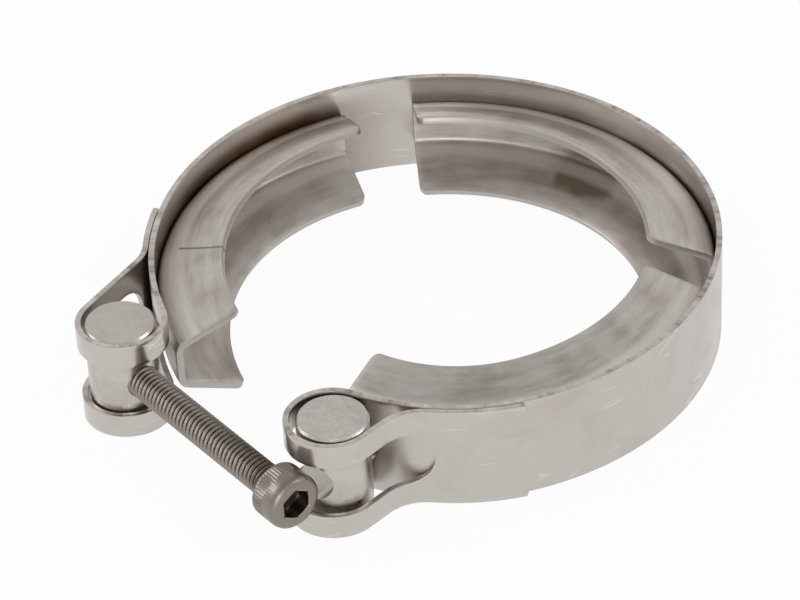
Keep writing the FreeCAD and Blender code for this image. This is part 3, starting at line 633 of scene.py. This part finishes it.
def sheet_steel(name, dark_line_place=-100.0, stain=(-100.0, 0.0)):
    """Stainless sheet, pressed to a V and rolled to the ring.

    The rolls leave the web grained and the rest satin with faint streaks. A painted highlight,
    a bright grained band on each flank beside its bend, stands for light caught there. A dark
    line across the upper flank and a brown stain lie at the given places on the flat sheet, in mm."""
    material, tree = new_material(f"stainless sheet, pressed, {name}")
    shades = sizes("clamp_colours")
    flat = add_node(tree, "ShaderNodeUVMap", {"uv_map": "flat"})
    place = add_node(tree, "ShaderNodeSeparateXYZ", links={0: flat})
    rim = add_node(tree, "ShaderNodeAttribute", {"attribute_name": "rim"}).outputs["Fac"]
    clouds = add_node(tree, "ShaderNodeTexNoise",
                      {"Scale": pattern_scale(8), "Detail": 4.0, "Roughness": 0.5,
                       "Distortion": 0.2}, {"Vector": flat})
    # The rolls' grain is about 0.1 mm; it is drawn at 0.3 mm so that it shows.
    grain = add_node(tree, "ShaderNodeTexNoise",
                     {"Scale": pattern_scale(0.3), "Detail": 4.0, "Roughness": 0.75},
                     {"Vector": flat})
    # Rolling lines are about 0.02 mm wide; they are drawn at 0.25 mm.
    brushed = add_node(tree, "ShaderNodeTexNoise",
                       {"Scale": pattern_scale(0.25), "Detail": 2.0},
                       {"Vector": add_node(tree, "ShaderNodeMapping", {"Scale": (0.05, 1, 1)},
                                           {"Vector": flat})})
    across = add_node(tree, "ShaderNodeMath", {"operation": "ABSOLUTE"},
                      {0: place.outputs["Y"]})
    web = add_node(tree, "ShaderNodeMapRange",
                   {"From Min": 0.0055, "From Max": 0.0085, "To Min": 1.0, "To Max": 0.15},
                   {"Value": across})
    # The painted highlight's middle lies 6.6 mm from the middle of the flat sheet.
    beside = add_node(tree, "ShaderNodeMath", {"operation": "SUBTRACT", 1: 0.0066}, {0: across})
    bend = add_node(tree, "ShaderNodeMapRange",
                    {"interpolation_type": "SMOOTHSTEP", "From Min": 0.0006,
                     "From Max": 0.0022, "To Min": 1.0, "To Max": 0.0},
                    {"Value": add_node(tree, "ShaderNodeMath", {"operation": "ABSOLUTE"},
                                       {0: beside})})
    # The streaks are about 1.5 mm wide and 12 mm long.
    streaks = add_node(tree, "ShaderNodeTexNoise",
                       {"Scale": pattern_scale(1.5), "Detail": 3.0, "Roughness": 0.6},
                       {"Vector": add_node(tree, "ShaderNodeMapping", {"Scale": (0.12, 1, 1)},
                                           {"Vector": flat})})
    uneven = add_node(tree, "ShaderNodeMix", {"data_type": "FLOAT", 0: 0.5},
                      {2: clouds, 3: streaks})
    centred = add_node(tree, "ShaderNodeVectorMath",
                       {"operation": "SUBTRACT", 1: (stain[0] * MM, stain[1] * MM, 0)},
                       {0: flat})
    squeezed = add_node(tree, "ShaderNodeVectorMath",
                        {"operation": "MULTIPLY", 1: (0.5, 0.8, 0)}, {0: centred})
    away = add_node(tree, "ShaderNodeVectorMath", {"operation": "LENGTH"},
                    {0: squeezed}).outputs["Value"]
    ragged = add_node(tree, "ShaderNodeMath", {"operation": "MULTIPLY_ADD", 1: -0.006},
                      {0: clouds, 2: away})
    stained = add_node(tree, "ShaderNodeMapRange",
                       {"interpolation_type": "SMOOTHSTEP", "From Min": 0.0,
                        "From Max": 0.0018, "To Min": 0.85, "To Max": 0.0}, {"Value": ragged})
    # A dark line about 1 mm wide runs slantwise across the upper flank at the given place.
    slanted = add_node(tree, "ShaderNodeVectorMath",
                       {"operation": "DOT_PRODUCT", 1: (1, 0.45, 0)}, {0: flat})
    offset = add_node(tree, "ShaderNodeMath", {"operation": "SUBTRACT", 1: dark_line_place * MM},
                      {0: slanted.outputs["Value"]})
    line = add_node(tree, "ShaderNodeMapRange",
                    {"interpolation_type": "SMOOTHSTEP", "From Min": 0.0001,
                     "From Max": 0.0005, "To Min": 0.8, "To Max": 0.0},
                    {"Value": add_node(tree, "ShaderNodeMath", {"operation": "ABSOLUTE"},
                                       {0: offset})})
    upper = add_node(tree, "ShaderNodeMath", {"operation": "GREATER_THAN", 1: 0.007},
                     {0: place.outputs["Y"]})
    dark_line = add_node(tree, "ShaderNodeMath", {"operation": "MULTIPLY"}, {0: line, 1: upper})
    clean = add_node(tree, "ShaderNodeValToRGB",
                     {"ramp": [(0.38, shades.sheet_dark), (0.5, shades.sheet),
                               (0.62, shades.sheet_light)]},
                     {0: uneven})
    browned = add_node(tree, "ShaderNodeMix", {"data_type": "RGBA", 7: linear(shades.stain)},
                       {0: stained, 6: clean}).outputs[2]
    # Painted highlight: the band beside each bend is lightened towards near white, grained.
    bright = add_node(tree, "ShaderNodeMath", {"operation": "MULTIPLY"}, {0: bend, 1: grain})
    rolled = add_node(tree, "ShaderNodeMix", {"data_type": "RGBA", 7: linear("#F2EEEA")},
                      {0: bright, 6: browned}).outputs[2]
    edged = add_node(tree, "ShaderNodeMix", {"data_type": "RGBA", 7: linear("#BDB7B2")},
                     {0: rim, 6: rolled}).outputs[2]
    colour = add_node(tree, "ShaderNodeMix", {"data_type": "RGBA", 7: linear("#6A625B")},
                      {0: dark_line, 6: edged}).outputs[2]
    grained = add_node(tree, "ShaderNodeMath", {"operation": "MULTIPLY"}, {0: grain, 1: web})
    height = add_node(tree, "ShaderNodeMath", {"operation": "MULTIPLY_ADD", 1: 0.25},
                      {0: brushed, 2: grained})
    rough = add_node(tree, "ShaderNodeMapRange",
                     {"From Min": 0.3, "From Max": 0.7, "To Min": 0.27, "To Max": 0.35},
                     {"Value": clouds})
    dull = add_node(tree, "ShaderNodeMath", {"operation": "MAXIMUM"}, {0: rim, 1: bend})
    dulled = add_node(tree, "ShaderNodeMath", {"operation": "MULTIPLY_ADD", 1: 0.16},
                      {0: dull, 2: rough})
    finish_metal(tree, colour, dulled, height, strength=0.9, depth=0.05)
    return material


def bar_steel(node, scratched):
    """Stainless bar, turned and parted off.

    The tool leaves fine rings on the ends and round the wall. The ends are scratched more or
    less, where they have been dragged about."""
    low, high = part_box(node)
    middle = (low + high) / 2
    material, tree = new_material(f"stainless bar, turned, {node}")
    shades = sizes("clamp_colours")
    place = add_node(tree, "ShaderNodeTexCoord").outputs["Object"]
    centred = add_node(tree, "ShaderNodeMapping", {"Location": tuple(-middle)},
                       {"Vector": place})
    parts = add_node(tree, "ShaderNodeSeparateXYZ", links={0: centred})
    end = add_node(tree, "ShaderNodeMapRange",
                   {"From Min": 0.0092, "From Max": 0.00945},
                   {"Value": add_node(tree, "ShaderNodeMath", {"operation": "ABSOLUTE"},
                                      {0: parts.outputs["Z"]})})
    # The tool's feed is about 0.08 mm; its marks are drawn at 0.55 mm on the ends and at
    # 0.35 mm on the wall, and the scratches, about 0.05 mm wide, at 0.5 mm.
    rings = add_node(tree, "ShaderNodeTexWave",
                     {"wave_type": "RINGS", "rings_direction": "Z", "Scale": wave_scale(0.55),
                      "Distortion": 0.4}, {"Vector": centred})
    bands = add_node(tree, "ShaderNodeTexWave",
                     {"wave_type": "BANDS", "bands_direction": "Z", "Scale": wave_scale(0.35),
                      "Distortion": 0.3}, {"Vector": centred})
    clouds = add_node(tree, "ShaderNodeTexNoise",
                      {"Scale": pattern_scale(4), "Detail": 5.0, "Roughness": 0.65,
                       "Distortion": 0.5}, {"Vector": centred})
    dragged = add_node(tree, "ShaderNodeTexNoise",
                       {"Scale": pattern_scale(0.5), "Detail": 4.0, "Roughness": 0.8,
                        "Distortion": 1.5},
                       {"Vector": add_node(tree, "ShaderNodeMapping",
                                           {"Rotation": (0, 0, 0.6), "Scale": (0.25, 1, 1)},
                                           {"Vector": centred})})
    scored = add_node(tree, "ShaderNodeMath", {"operation": "MULTIPLY", 1: scratched * 4.0},
                      {0: dragged})
    off = add_node(tree, "ShaderNodeMath", {"operation": "SUBTRACT", 1: 0.5}, {0: dragged})
    fine = add_node(tree, "ShaderNodeMapRange",
                    {"From Min": 0.0, "From Max": 0.02, "To Min": scratched, "To Max": 0.0},
                    {"Value": add_node(tree, "ShaderNodeMath", {"operation": "ABSOLUTE"},
                                       {0: off})})
    bright = add_node(tree, "ShaderNodeMath", {"operation": "MULTIPLY"}, {0: fine, 1: end})
    face = add_node(tree, "ShaderNodeMath", {"operation": "MULTIPLY_ADD", 1: 0.35},
                    {0: rings, 2: scored})
    wall = add_node(tree, "ShaderNodeMath", {"operation": "MULTIPLY", 1: 0.3}, {0: bands})
    height = add_node(tree, "ShaderNodeMix", {"data_type": "FLOAT"},
                      {0: end, 2: wall, 3: face})
    plain = add_node(tree, "ShaderNodeValToRGB",
                     {"ramp": [(0.3, shades.bar_dark), (0.5, shades.bar), (0.7, shades.bar_light)]},
                     {0: clouds})
    colour = add_node(tree, "ShaderNodeMix", {"data_type": "RGBA", 7: linear("#EDEAE7")},
                      {0: bright, 6: plain}).outputs[2]
    rough = add_node(tree, "ShaderNodeMapRange",
                     {"From Min": 0.3, "From Max": 0.7, "To Min": 0.2, "To Max": 0.34},
                     {"Value": clouds})
    finish_metal(tree, colour, rough, height, strength=0.6, depth=0.02)
    return material


def screw_steel(hinge, turn):
    """Stainless screw, cold headed and thread rolled.

    It is duller than the sheet and finely grained. Painted shade darkens the thread's grooves and
    the socket brown-black, and a painted highlight lightens the thread towards its crests."""
    size = sizes("clamp_screw")
    shades = sizes("clamp_colours")
    axis = (Matrix.Translation(hinge * MM) @ turn).inverted()
    material, tree = new_material("stainless screw, cold headed and thread rolled")
    place = add_node(tree, "ShaderNodeTexCoord").outputs["Object"]
    own = add_node(tree, "ShaderNodeMapping",
                   {"Location": tuple(axis.translation), "Rotation": tuple(axis.to_euler())},
                   {"Vector": place})
    radial = add_node(tree, "ShaderNodeVectorMath",
                      {"operation": "MULTIPLY", 1: (0, 1, 1)}, {0: own})
    radius = add_node(tree, "ShaderNodeVectorMath", {"operation": "LENGTH"},
                      {0: radial}).outputs["Value"]
    raised = add_node(tree, "ShaderNodeMapRange",
                      {"From Min": size.root / 2 * MM, "From Max": size.thread / 2 * MM},
                      {"Value": radius})
    # The grain of the wire is about 0.05 mm; it is drawn at 0.25 mm.
    grain = add_node(tree, "ShaderNodeTexNoise",
                     {"Scale": pattern_scale(0.25), "Detail": 4.0, "Roughness": 0.75},
                     {"Vector": own})
    clouds = add_node(tree, "ShaderNodeTexNoise",
                      {"Scale": pattern_scale(2.5), "Detail": 4.0, "Roughness": 0.6},
                      {"Vector": own})
    # The colour runs from painted shade at the thread's roots and in the socket to painted
    # highlight towards the crests, mottled by the grain.
    crest_sheen = add_node(tree, "ShaderNodeMath", {"operation": "MULTIPLY_ADD", 1: 0.35},
                    {0: grain, 2: raised})
    colour = add_node(tree, "ShaderNodeValToRGB",
                      {"ramp": [(0.15, shades.groove_shade), (0.5, shades.screw), (0.85, shades.crest_sheen),
                                (1.0, "#8F8881")]}, {0: crest_sheen})
    rough = add_node(tree, "ShaderNodeMapRange",
                     {"From Min": 0.3, "From Max": 0.7, "To Min": 0.28, "To Max": 0.42},
                     {"Value": clouds})
    finish_metal(tree, colour, rough, grain, strength=0.7, depth=0.03)
    return material


# --- operators ------------------------------------------------------------------------------

class CLAMP_OT_strap(bpy.types.Operator):
    """Makes the strap: one strip with windows, bent round the ring and the two trunnions"""

    bl_idname = "clamp.strap"
    bl_label = "Make the strap"

    def execute(self, context):
        strap = sizes("clamp_strap")
        path, marks, left, right = strap_path()
        half, window, bulge = strap.width / 2, strap.window / 2, strap.bulge
        radius = (half ** 2 + bulge ** 2) / (2 * bulge)
        spread = math.degrees(math.asin(half / radius))
        left_near = marks["left_touch"] + under_throat(left)
        right_near = marks["right_touch"] - under_throat(right)
        outline = [(0, 0)]
        threaded, slotted = sizes("clamp_threaded"), sizes("clamp_slotted")
        for start, finish in (
                (marks["left_throat"] - threaded.tail_window, left_near + threaded.inner_window),
                (right_near - slotted.inner_window, marks["right_throat"] + slotted.tail_window)):
            outline += round_run((start + window, 0), window, 180, 90, WINDOW_STEPS)
            outline += round_run((finish - window, 0), window, 90, 0, WINDOW_STEPS)
        total = path.total
        outline += round_run((total - radius, 0), radius, 0, spread, TAIL_STEPS)
        outline += round_run((radius, 0), radius, 180 - spread, 180, TAIL_STEPS)[:-1]
        bm = flat_sheet(outline, path.stations(STRAP_STEP, STRAP_TURN), STRAP_ROWS,
                        strap.thickness, strap.edge)
        for vert in bm.verts:
            point, leftward = path.at(min(max(vert.co.x, 0.0), total))
            vert.co = point + leftward * vert.co.z + Vector((0, 0, vert.co.y))
        bmesh.ops.recalc_face_normals(bm, faces=bm.faces)
        smooth(bm, SHEET_SHARP)
        finish_piece(bm, "strap_sheet", strip_steel(), "ring", "strap", "strap")
        return {"FINISHED"}


class CLAMP_OT_segments(bpy.types.Operator):
    """Makes the three V segments: bent sheet that follows the inside of the strap"""

    bl_idname = "clamp.segments"
    bl_label = "Make the V segments"

    def execute(self, context):
        ring = sizes("clamp_strap").radius
        size = sizes("clamp_segments")
        dark_line_place, stain = 31.15, (36.0, -6.5)
        left, right = end_geometry("threaded"), end_geometry("slotted")
        path = Path()
        path.arc(left["centre"], left["arc"], -90 - size.left_start, left["release"], -1)
        path.arc(Vector(), ring, left["release"], size.left_end, -1)
        self.segment(path, "left_segment", sheet_steel("left", dark_line_place=dark_line_place))
        path = Path()
        path.arc(Vector(), ring, size.back_start, size.back_end, -1)
        self.segment(path, "back_segment", sheet_steel("back", stain=stain))
        path = Path()
        path.arc(Vector(), ring, size.front_start, right["release"], -1)
        path.arc(right["centre"], right["arc"], right["release"], size.front_end - 90, -1)
        self.segment(path, "front_segment", sheet_steel("front"))
        return {"FINISHED"}

    def segment(self, path, node, material):
        """Bends one flat sheet to half of the section, mirrored, along its path."""
        size = sizes("clamp_segments")
        section = Path()
        middle = size.bend + size.sheet / 2
        lean = math.radians(size.flank)
        web = size.web - size.sheet - size.bend
        rise = (size.height / 2 - (web - size.mouth) * math.tan(lean)
                - size.bend / math.cos(lean))
        mouth = Vector((size.mouth, size.height / 2 + size.sheet / math.cos(lean) / 2, 0))
        touch = Vector((web, rise, 0)) + polar(90 - size.flank, middle)
        section.line(Vector((web + middle, 0, 0)), Vector((web + middle, rise, 0)))
        section.arc(Vector((web, rise, 0)), middle, 0, 90 - size.flank, 1)
        section.line(touch, mouth)
        reach = section.total
        corner, total = size.corner, path.total
        outline = [(0, 0), (total, 0)]
        outline += round_run((total - corner, reach - corner), corner, 0, 90, CORNER_STEPS)
        outline += round_run((corner, reach - corner), corner, 90, 180, CORNER_STEPS)
        along = [total * i / SEGMENT_STEPS for i in range(1, SEGMENT_STEPS)]
        start, turned = section.runs[1][:2]
        bends = [start + turned * i / BEND_STEPS for i in range(BEND_STEPS + 1)]
        rows = [SEGMENT_ROWS[0]] + bends + list(SEGMENT_ROWS[1:])
        strap = sizes("clamp_strap")
        bm = flat_sheet(outline, along, rows, size.sheet, strap.edge)
        ring = strap.radius
        for vert in bm.verts:
            point, outward = path.at(vert.co.x)
            place, leftward = section.at(min(abs(vert.co.y), reach))
            place = place - leftward * vert.co.z
            high = place.y if vert.co.y >= 0 else -place.y
            vert.co = point + outward * (place.x - ring) + Vector((0, 0, high))
        bmesh.ops.recalc_face_normals(bm, faces=bm.faces)
        smooth(bm, SHEET_SHARP)
        finish_piece(bm, f"v_{node}", material, "ring", "segments", node)


class CLAMP_OT_screw(bpy.types.Operator):
    """Makes the socket head cap screw with its thread, knurl and hexagon socket"""

    bl_idname = "clamp.screw"
    bl_label = "Make the screw"

    def execute(self, context):
        size = sizes("clamp_screw")
        low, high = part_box("threaded_trunnion")
        hinge = (low + high) / 2 / MM
        turn = Matrix.Rotation(math.radians(size.angle), 4, "Z")
        bm = bmesh.new()
        self.thread(bm, size)
        self.head(bm, size)
        bmesh.ops.transform(bm, matrix=Matrix.Translation(hinge) @ turn, verts=bm.verts)
        smooth(bm, SCREW_SHARP)
        finish_piece(bm, "cap_screw", screw_steel(hinge, turn), "screw", "screw", "screw")
        return {"FINISHED"}

    def thread(self, bm, size):
        """The thread is one pitch of its outline wound along the shank, then cut to length."""
        part = bmesh.new()
        pitch, root, crest = size.pitch, size.root / 2, size.thread / 2
        chamfer, overlap = 0.8, 0.3  # mm off the tip, and mm by which the shank enters the head
        start = size.tip - 2 * pitch
        outline = [(0, root), (0.125, root), (0.4375, crest), (0.5625, crest), (0.875, root),
                   (1, root)]
        verts = [part.verts.new((start + x * pitch, r, 0)) for x, r in outline]
        edges = [part.edges.new(pair) for pair in zip(verts, verts[1:])]
        turns = math.ceil(size.length / pitch) + 4
        bmesh.ops.spin(part, geom=verts + edges, cent=(0, 0, 0), axis=(1, 0, 0),
                       dvec=(pitch / THREAD_STEPS, 0, 0), angle=TURN * turns,
                       steps=THREAD_STEPS * turns, use_merge=False, use_duplicate=False)
        bmesh.ops.remove_doubles(part, verts=part.verts, dist=MERGE)
        for place, way in ((size.tip, -1), (size.tip + size.length + overlap, 1)):
            bmesh.ops.bisect_plane(part, geom=everything(part), dist=1e-5,
                                   plane_co=(place, 0, 0), plane_no=(way, 0, 0),
                                   clear_outer=True)
            rim = [edge for edge in part.edges if edge.is_boundary
                   and all(abs(vert.co.x - place) < MERGE for vert in edge.verts)]
            bmesh.ops.edgeloop_fill(part, edges=rim)
        for vert in part.verts:
            most = crest - chamfer + vert.co.x - size.tip
            radius = math.hypot(vert.co.y, vert.co.z)
            if radius > most:
                vert.co.y *= most / radius
                vert.co.z *= most / radius
        bmesh.ops.recalc_face_normals(part, faces=part.faces)
        self.add(bm, part)

    def head(self, bm, size):
        """The head is turned, then its wall is knurled and its recess made hexagonal."""
        part = bmesh.new()
        under = size.tip + size.length
        top = under + size.height
        outer = size.head / 2
        socket = size.socket / 2
        # Each row is a place along the screw, a radius and the share of the knurl's depth there.
        rows = [(under, 0, 0), (under, outer - 0.35, 0), (under + 0.25, outer - 0.08, 0),
                (under + 0.45, outer, 0.6), (under + 0.9, outer, 1.0), (under + 2.4, outer, 0.9),
                (under + 3.2, outer, 0.35), (under + 3.9, outer, 0), (top - 1.4, outer, 0),
                (top - 1.1, outer - 0.04, 0), (top - 0.6, outer - 0.2, 0),
                (top - 0.25, outer - 0.5, 0), (top - 0.05, outer - 0.95, 0),
                (top, outer - 1.3, 0), (top, socket * 1.24, 0), (top - 0.22, socket, 0),
                (top - 0.35, socket, 0), (top - size.depth, socket, 0),
                (top - size.depth - 0.7, 0, 0)]
        steps = size.ridges * RIDGE_STEPS
        verts = [part.verts.new((x, r, 0)) for x, r, depth in rows]
        edges = [part.edges.new(pair) for pair in zip(verts, verts[1:])]
        bmesh.ops.spin(part, geom=verts + edges, cent=(0, 0, 0), axis=(1, 0, 0),
                       angle=TURN, steps=steps, use_merge=True, use_duplicate=False)
        bmesh.ops.remove_doubles(part, verts=part.verts, dist=CUT)
        knurled = {round(x, 4): depth for x, r, depth in rows if depth}
        hexagonal = top - 0.2
        for vert in part.verts:
            radius = math.hypot(vert.co.y, vert.co.z)
            turn = math.atan2(vert.co.z, vert.co.y)
            depth = size.knurl * knurled.get(round(vert.co.x, 4), 0.0)
            share = 1 - depth / outer * (0.5 - 0.5 * math.cos(size.ridges * turn))
            if 0.1 < radius < socket + 0.01 and vert.co.x < hexagonal:
                share = 1 / math.cos((turn + math.pi / 6) % (math.pi / 3) - math.pi / 6)
            vert.co.y *= share
            vert.co.z *= share
        bmesh.ops.recalc_face_normals(part, faces=part.faces)
        self.add(bm, part)

    def add(self, bm, part):
        """Moves a part's mesh into the whole screw's mesh."""
        mesh = bpy.data.meshes.new("part")
        part.to_mesh(mesh)
        part.free()
        bm.from_mesh(mesh)
        bpy.data.meshes.remove(mesh)


class CLAMP_OT_trunnions(bpy.types.Operator):
    """Gives the two trunnions their turned finish"""

    bl_idname = "clamp.trunnions"
    bl_label = "Finish the trunnions"

    def execute(self, context):
        for node, scratched in (("threaded_trunnion", 0.25), ("slotted_trunnion", 1.0)):
            material = bar_steel(node, scratched)
            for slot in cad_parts[node].material_slots:
                slot.material = material
        return {"FINISHED"}


class CLAMP_OT_stage(bpy.types.Operator):
    """Sets the floor, the lamps, the sky and the view"""

    bl_idname = "clamp.stage"
    bl_label = "Set the stage"

    def execute(self, context):
        self.floor()
        self.sky(context.scene)
        for lamp in SOFT_BOXES:
            self.lamp(*lamp)
        self.camera(context.scene)
        context.scene.view_settings.view_transform = "Standard"
        return {"FINISHED"}

    def floor(self):
        bm = bmesh.new()
        bmesh.ops.create_grid(bm, x_segments=1, y_segments=1, size=FLOOR_SIZE)
        bmesh.ops.translate(bm, vec=(0, 0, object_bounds()[0].z), verts=bm.verts)
        mesh = bpy.data.meshes.new("floor")
        bm.to_mesh(mesh)
        bm.free()
        floor = bpy.data.objects.new("floor", mesh)
        bpy.context.scene.collection.objects.link(floor)
        floor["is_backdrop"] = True
        # White paper. The camera and the metal both see it lit evenly, with a faint shadow left.
        material, tree = new_material("white paper")
        path = add_node(tree, "ShaderNodeLightPath")
        mirrored = add_node(tree, "ShaderNodeMath", {"operation": "MAXIMUM"},
                            {0: path.outputs["Is Glossy Ray"],
                             1: path.outputs["Is Transmission Ray"]})
        dimmed = add_node(tree, "ShaderNodeMath", {"operation": "MULTIPLY", 1: 0.8},
                          {0: mirrored})
        seen = add_node(tree, "ShaderNodeMath", {"operation": "MULTIPLY", 1: 0.94},
                        {0: path.outputs["Is Camera Ray"]})
        share = add_node(tree, "ShaderNodeMath", {"operation": "MAXIMUM"}, {0: seen, 1: dimmed})
        paper = add_node(tree, "ShaderNodeBsdfDiffuse", {"Color": linear("#F2F2F2")})
        glow = add_node(tree, "ShaderNodeEmission", {"Color": linear("#FFFFFF"), "Strength": 1.0})
        mixed = add_node(tree, "ShaderNodeMixShader", links={0: share, 1: paper, 2: glow})
        add_node(tree, "ShaderNodeOutputMaterial", links={"Surface": mixed})
        mesh.materials.append(material)

    def sky(self, scene):
        world = bpy.data.worlds.new("studio")
        scene.world = world
        world.use_nodes = True
        tree = world.node_tree
        tree.nodes.clear()
        # A studio's pale walls under a grey ceiling.
        place = add_node(tree, "ShaderNodeTexCoord")
        parts = add_node(tree, "ShaderNodeSeparateXYZ", links={0: place.outputs["Generated"]})
        room = add_node(tree, "ShaderNodeValToRGB",
                        {"ramp": [(0.0, "#CDCBCA"), (0.3, "#D6D4D3"), (0.6, "#E2E1E0"),
                                  (0.85, "#C6C5C4"), (1.0, "#B9B8B7")]},
                        {0: parts.outputs["Z"]})
        dim = add_node(tree, "ShaderNodeBackground", {"Strength": 1.1}, {"Color": room})
        white = add_node(tree, "ShaderNodeBackground",
                         {"Color": linear("#FFFFFF"), "Strength": 1.0})
        path = add_node(tree, "ShaderNodeLightPath")
        mixed = add_node(tree, "ShaderNodeMixShader",
                         links={0: path.outputs["Is Camera Ray"], 1: dim, 2: white})
        add_node(tree, "ShaderNodeOutputWorld", links={"Surface": mixed})

    def lamp(self, name, place, size, power):
        data = bpy.data.lights.new(name, "AREA")
        data.shape = "SQUARE"
        data.size = size
        data.energy = power
        lamp = bpy.data.objects.new(name, data)
        lamp.location = place
        lamp.rotation_mode = "QUATERNION"
        lamp.rotation_quaternion = Vector(place).to_track_quat("Z", "Y")
        bpy.context.scene.collection.objects.link(lamp)

    def camera(self, scene):
        size = sizes("clamp_stage")
        turn, rise, roll = (math.radians(value)
                            for value in (size.azimuth, size.elevation, size.roll))
        back = Vector((math.sin(turn) * math.cos(rise), -math.cos(turn) * math.cos(rise),
                       math.sin(rise)))
        across = Vector((math.cos(turn), math.sin(turn), 0))
        up = back.cross(across)
        right = across * math.cos(roll) + up * math.sin(roll)
        top = up * math.cos(roll) - across * math.sin(roll)
        data = bpy.data.cameras.new("view")
        data.sensor_width = 36.0
        data.lens = size.lens
        data.clip_start, data.clip_end = 0.01, 100.0
        camera = bpy.data.objects.new("view", data)
        scene.collection.objects.link(camera)
        place = (VIEW_TARGET + back * size.distance) * MM
        turned = Matrix((right, top, back)).transposed().to_4x4()
        camera.matrix_world = Matrix.Translation(place) @ turned
        scene.camera = camera


class CLAMP_PT_panel(bpy.types.Panel):
    """Lists the steps that make the clamp"""

    bl_idname = "CLAMP_PT_panel"
    bl_label = "V Band Clamp"
    bl_space_type = "VIEW_3D"
    bl_region_type = "UI"
    bl_category = "V Band Clamp"

    def draw(self, context):
        for operator in OPERATORS:
            self.layout.operator(operator.bl_idname)
        for name in GROUPS:
            group = getattr(context.scene, name)
            box = self.layout.box()
            for key in group.bl_rna.properties.keys():
                if key not in ("rna_type", "name"):
                    box.prop(group, key)


GROUPS = {
    "clamp_strap": StrapSizes,
    "clamp_threaded": ThreadedEndSizes,
    "clamp_slotted": SlottedEndSizes,
    "clamp_segments": SegmentSizes,
    "clamp_screw": ScrewSizes,
    "clamp_colours": FinishColours,
    "clamp_stage": StageSizes,
}
OPERATORS = (CLAMP_OT_strap, CLAMP_OT_segments, CLAMP_OT_screw, CLAMP_OT_trunnions,
             CLAMP_OT_stage)


def register():
    for name, group in GROUPS.items():
        bpy.utils.register_class(group)
        setattr(bpy.types.Scene, name, bpy.props.PointerProperty(type=group))
    for kind in OPERATORS + (CLAMP_PT_panel,):
        bpy.utils.register_class(kind)


def unregister():
    for kind in reversed(OPERATORS + (CLAMP_PT_panel,)):
        bpy.utils.unregister_class(kind)
    for name, group in GROUPS.items():
        delattr(bpy.types.Scene, name)
        bpy.utils.unregister_class(group)


def main():
    """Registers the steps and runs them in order."""
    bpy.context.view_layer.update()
    register()
    bpy.ops.clamp.strap()
    bpy.ops.clamp.segments()
    bpy.ops.clamp.screw()
    bpy.ops.clamp.trunnions()
    bpy.ops.clamp.stage()


if __name__ == "__main__":
    main()
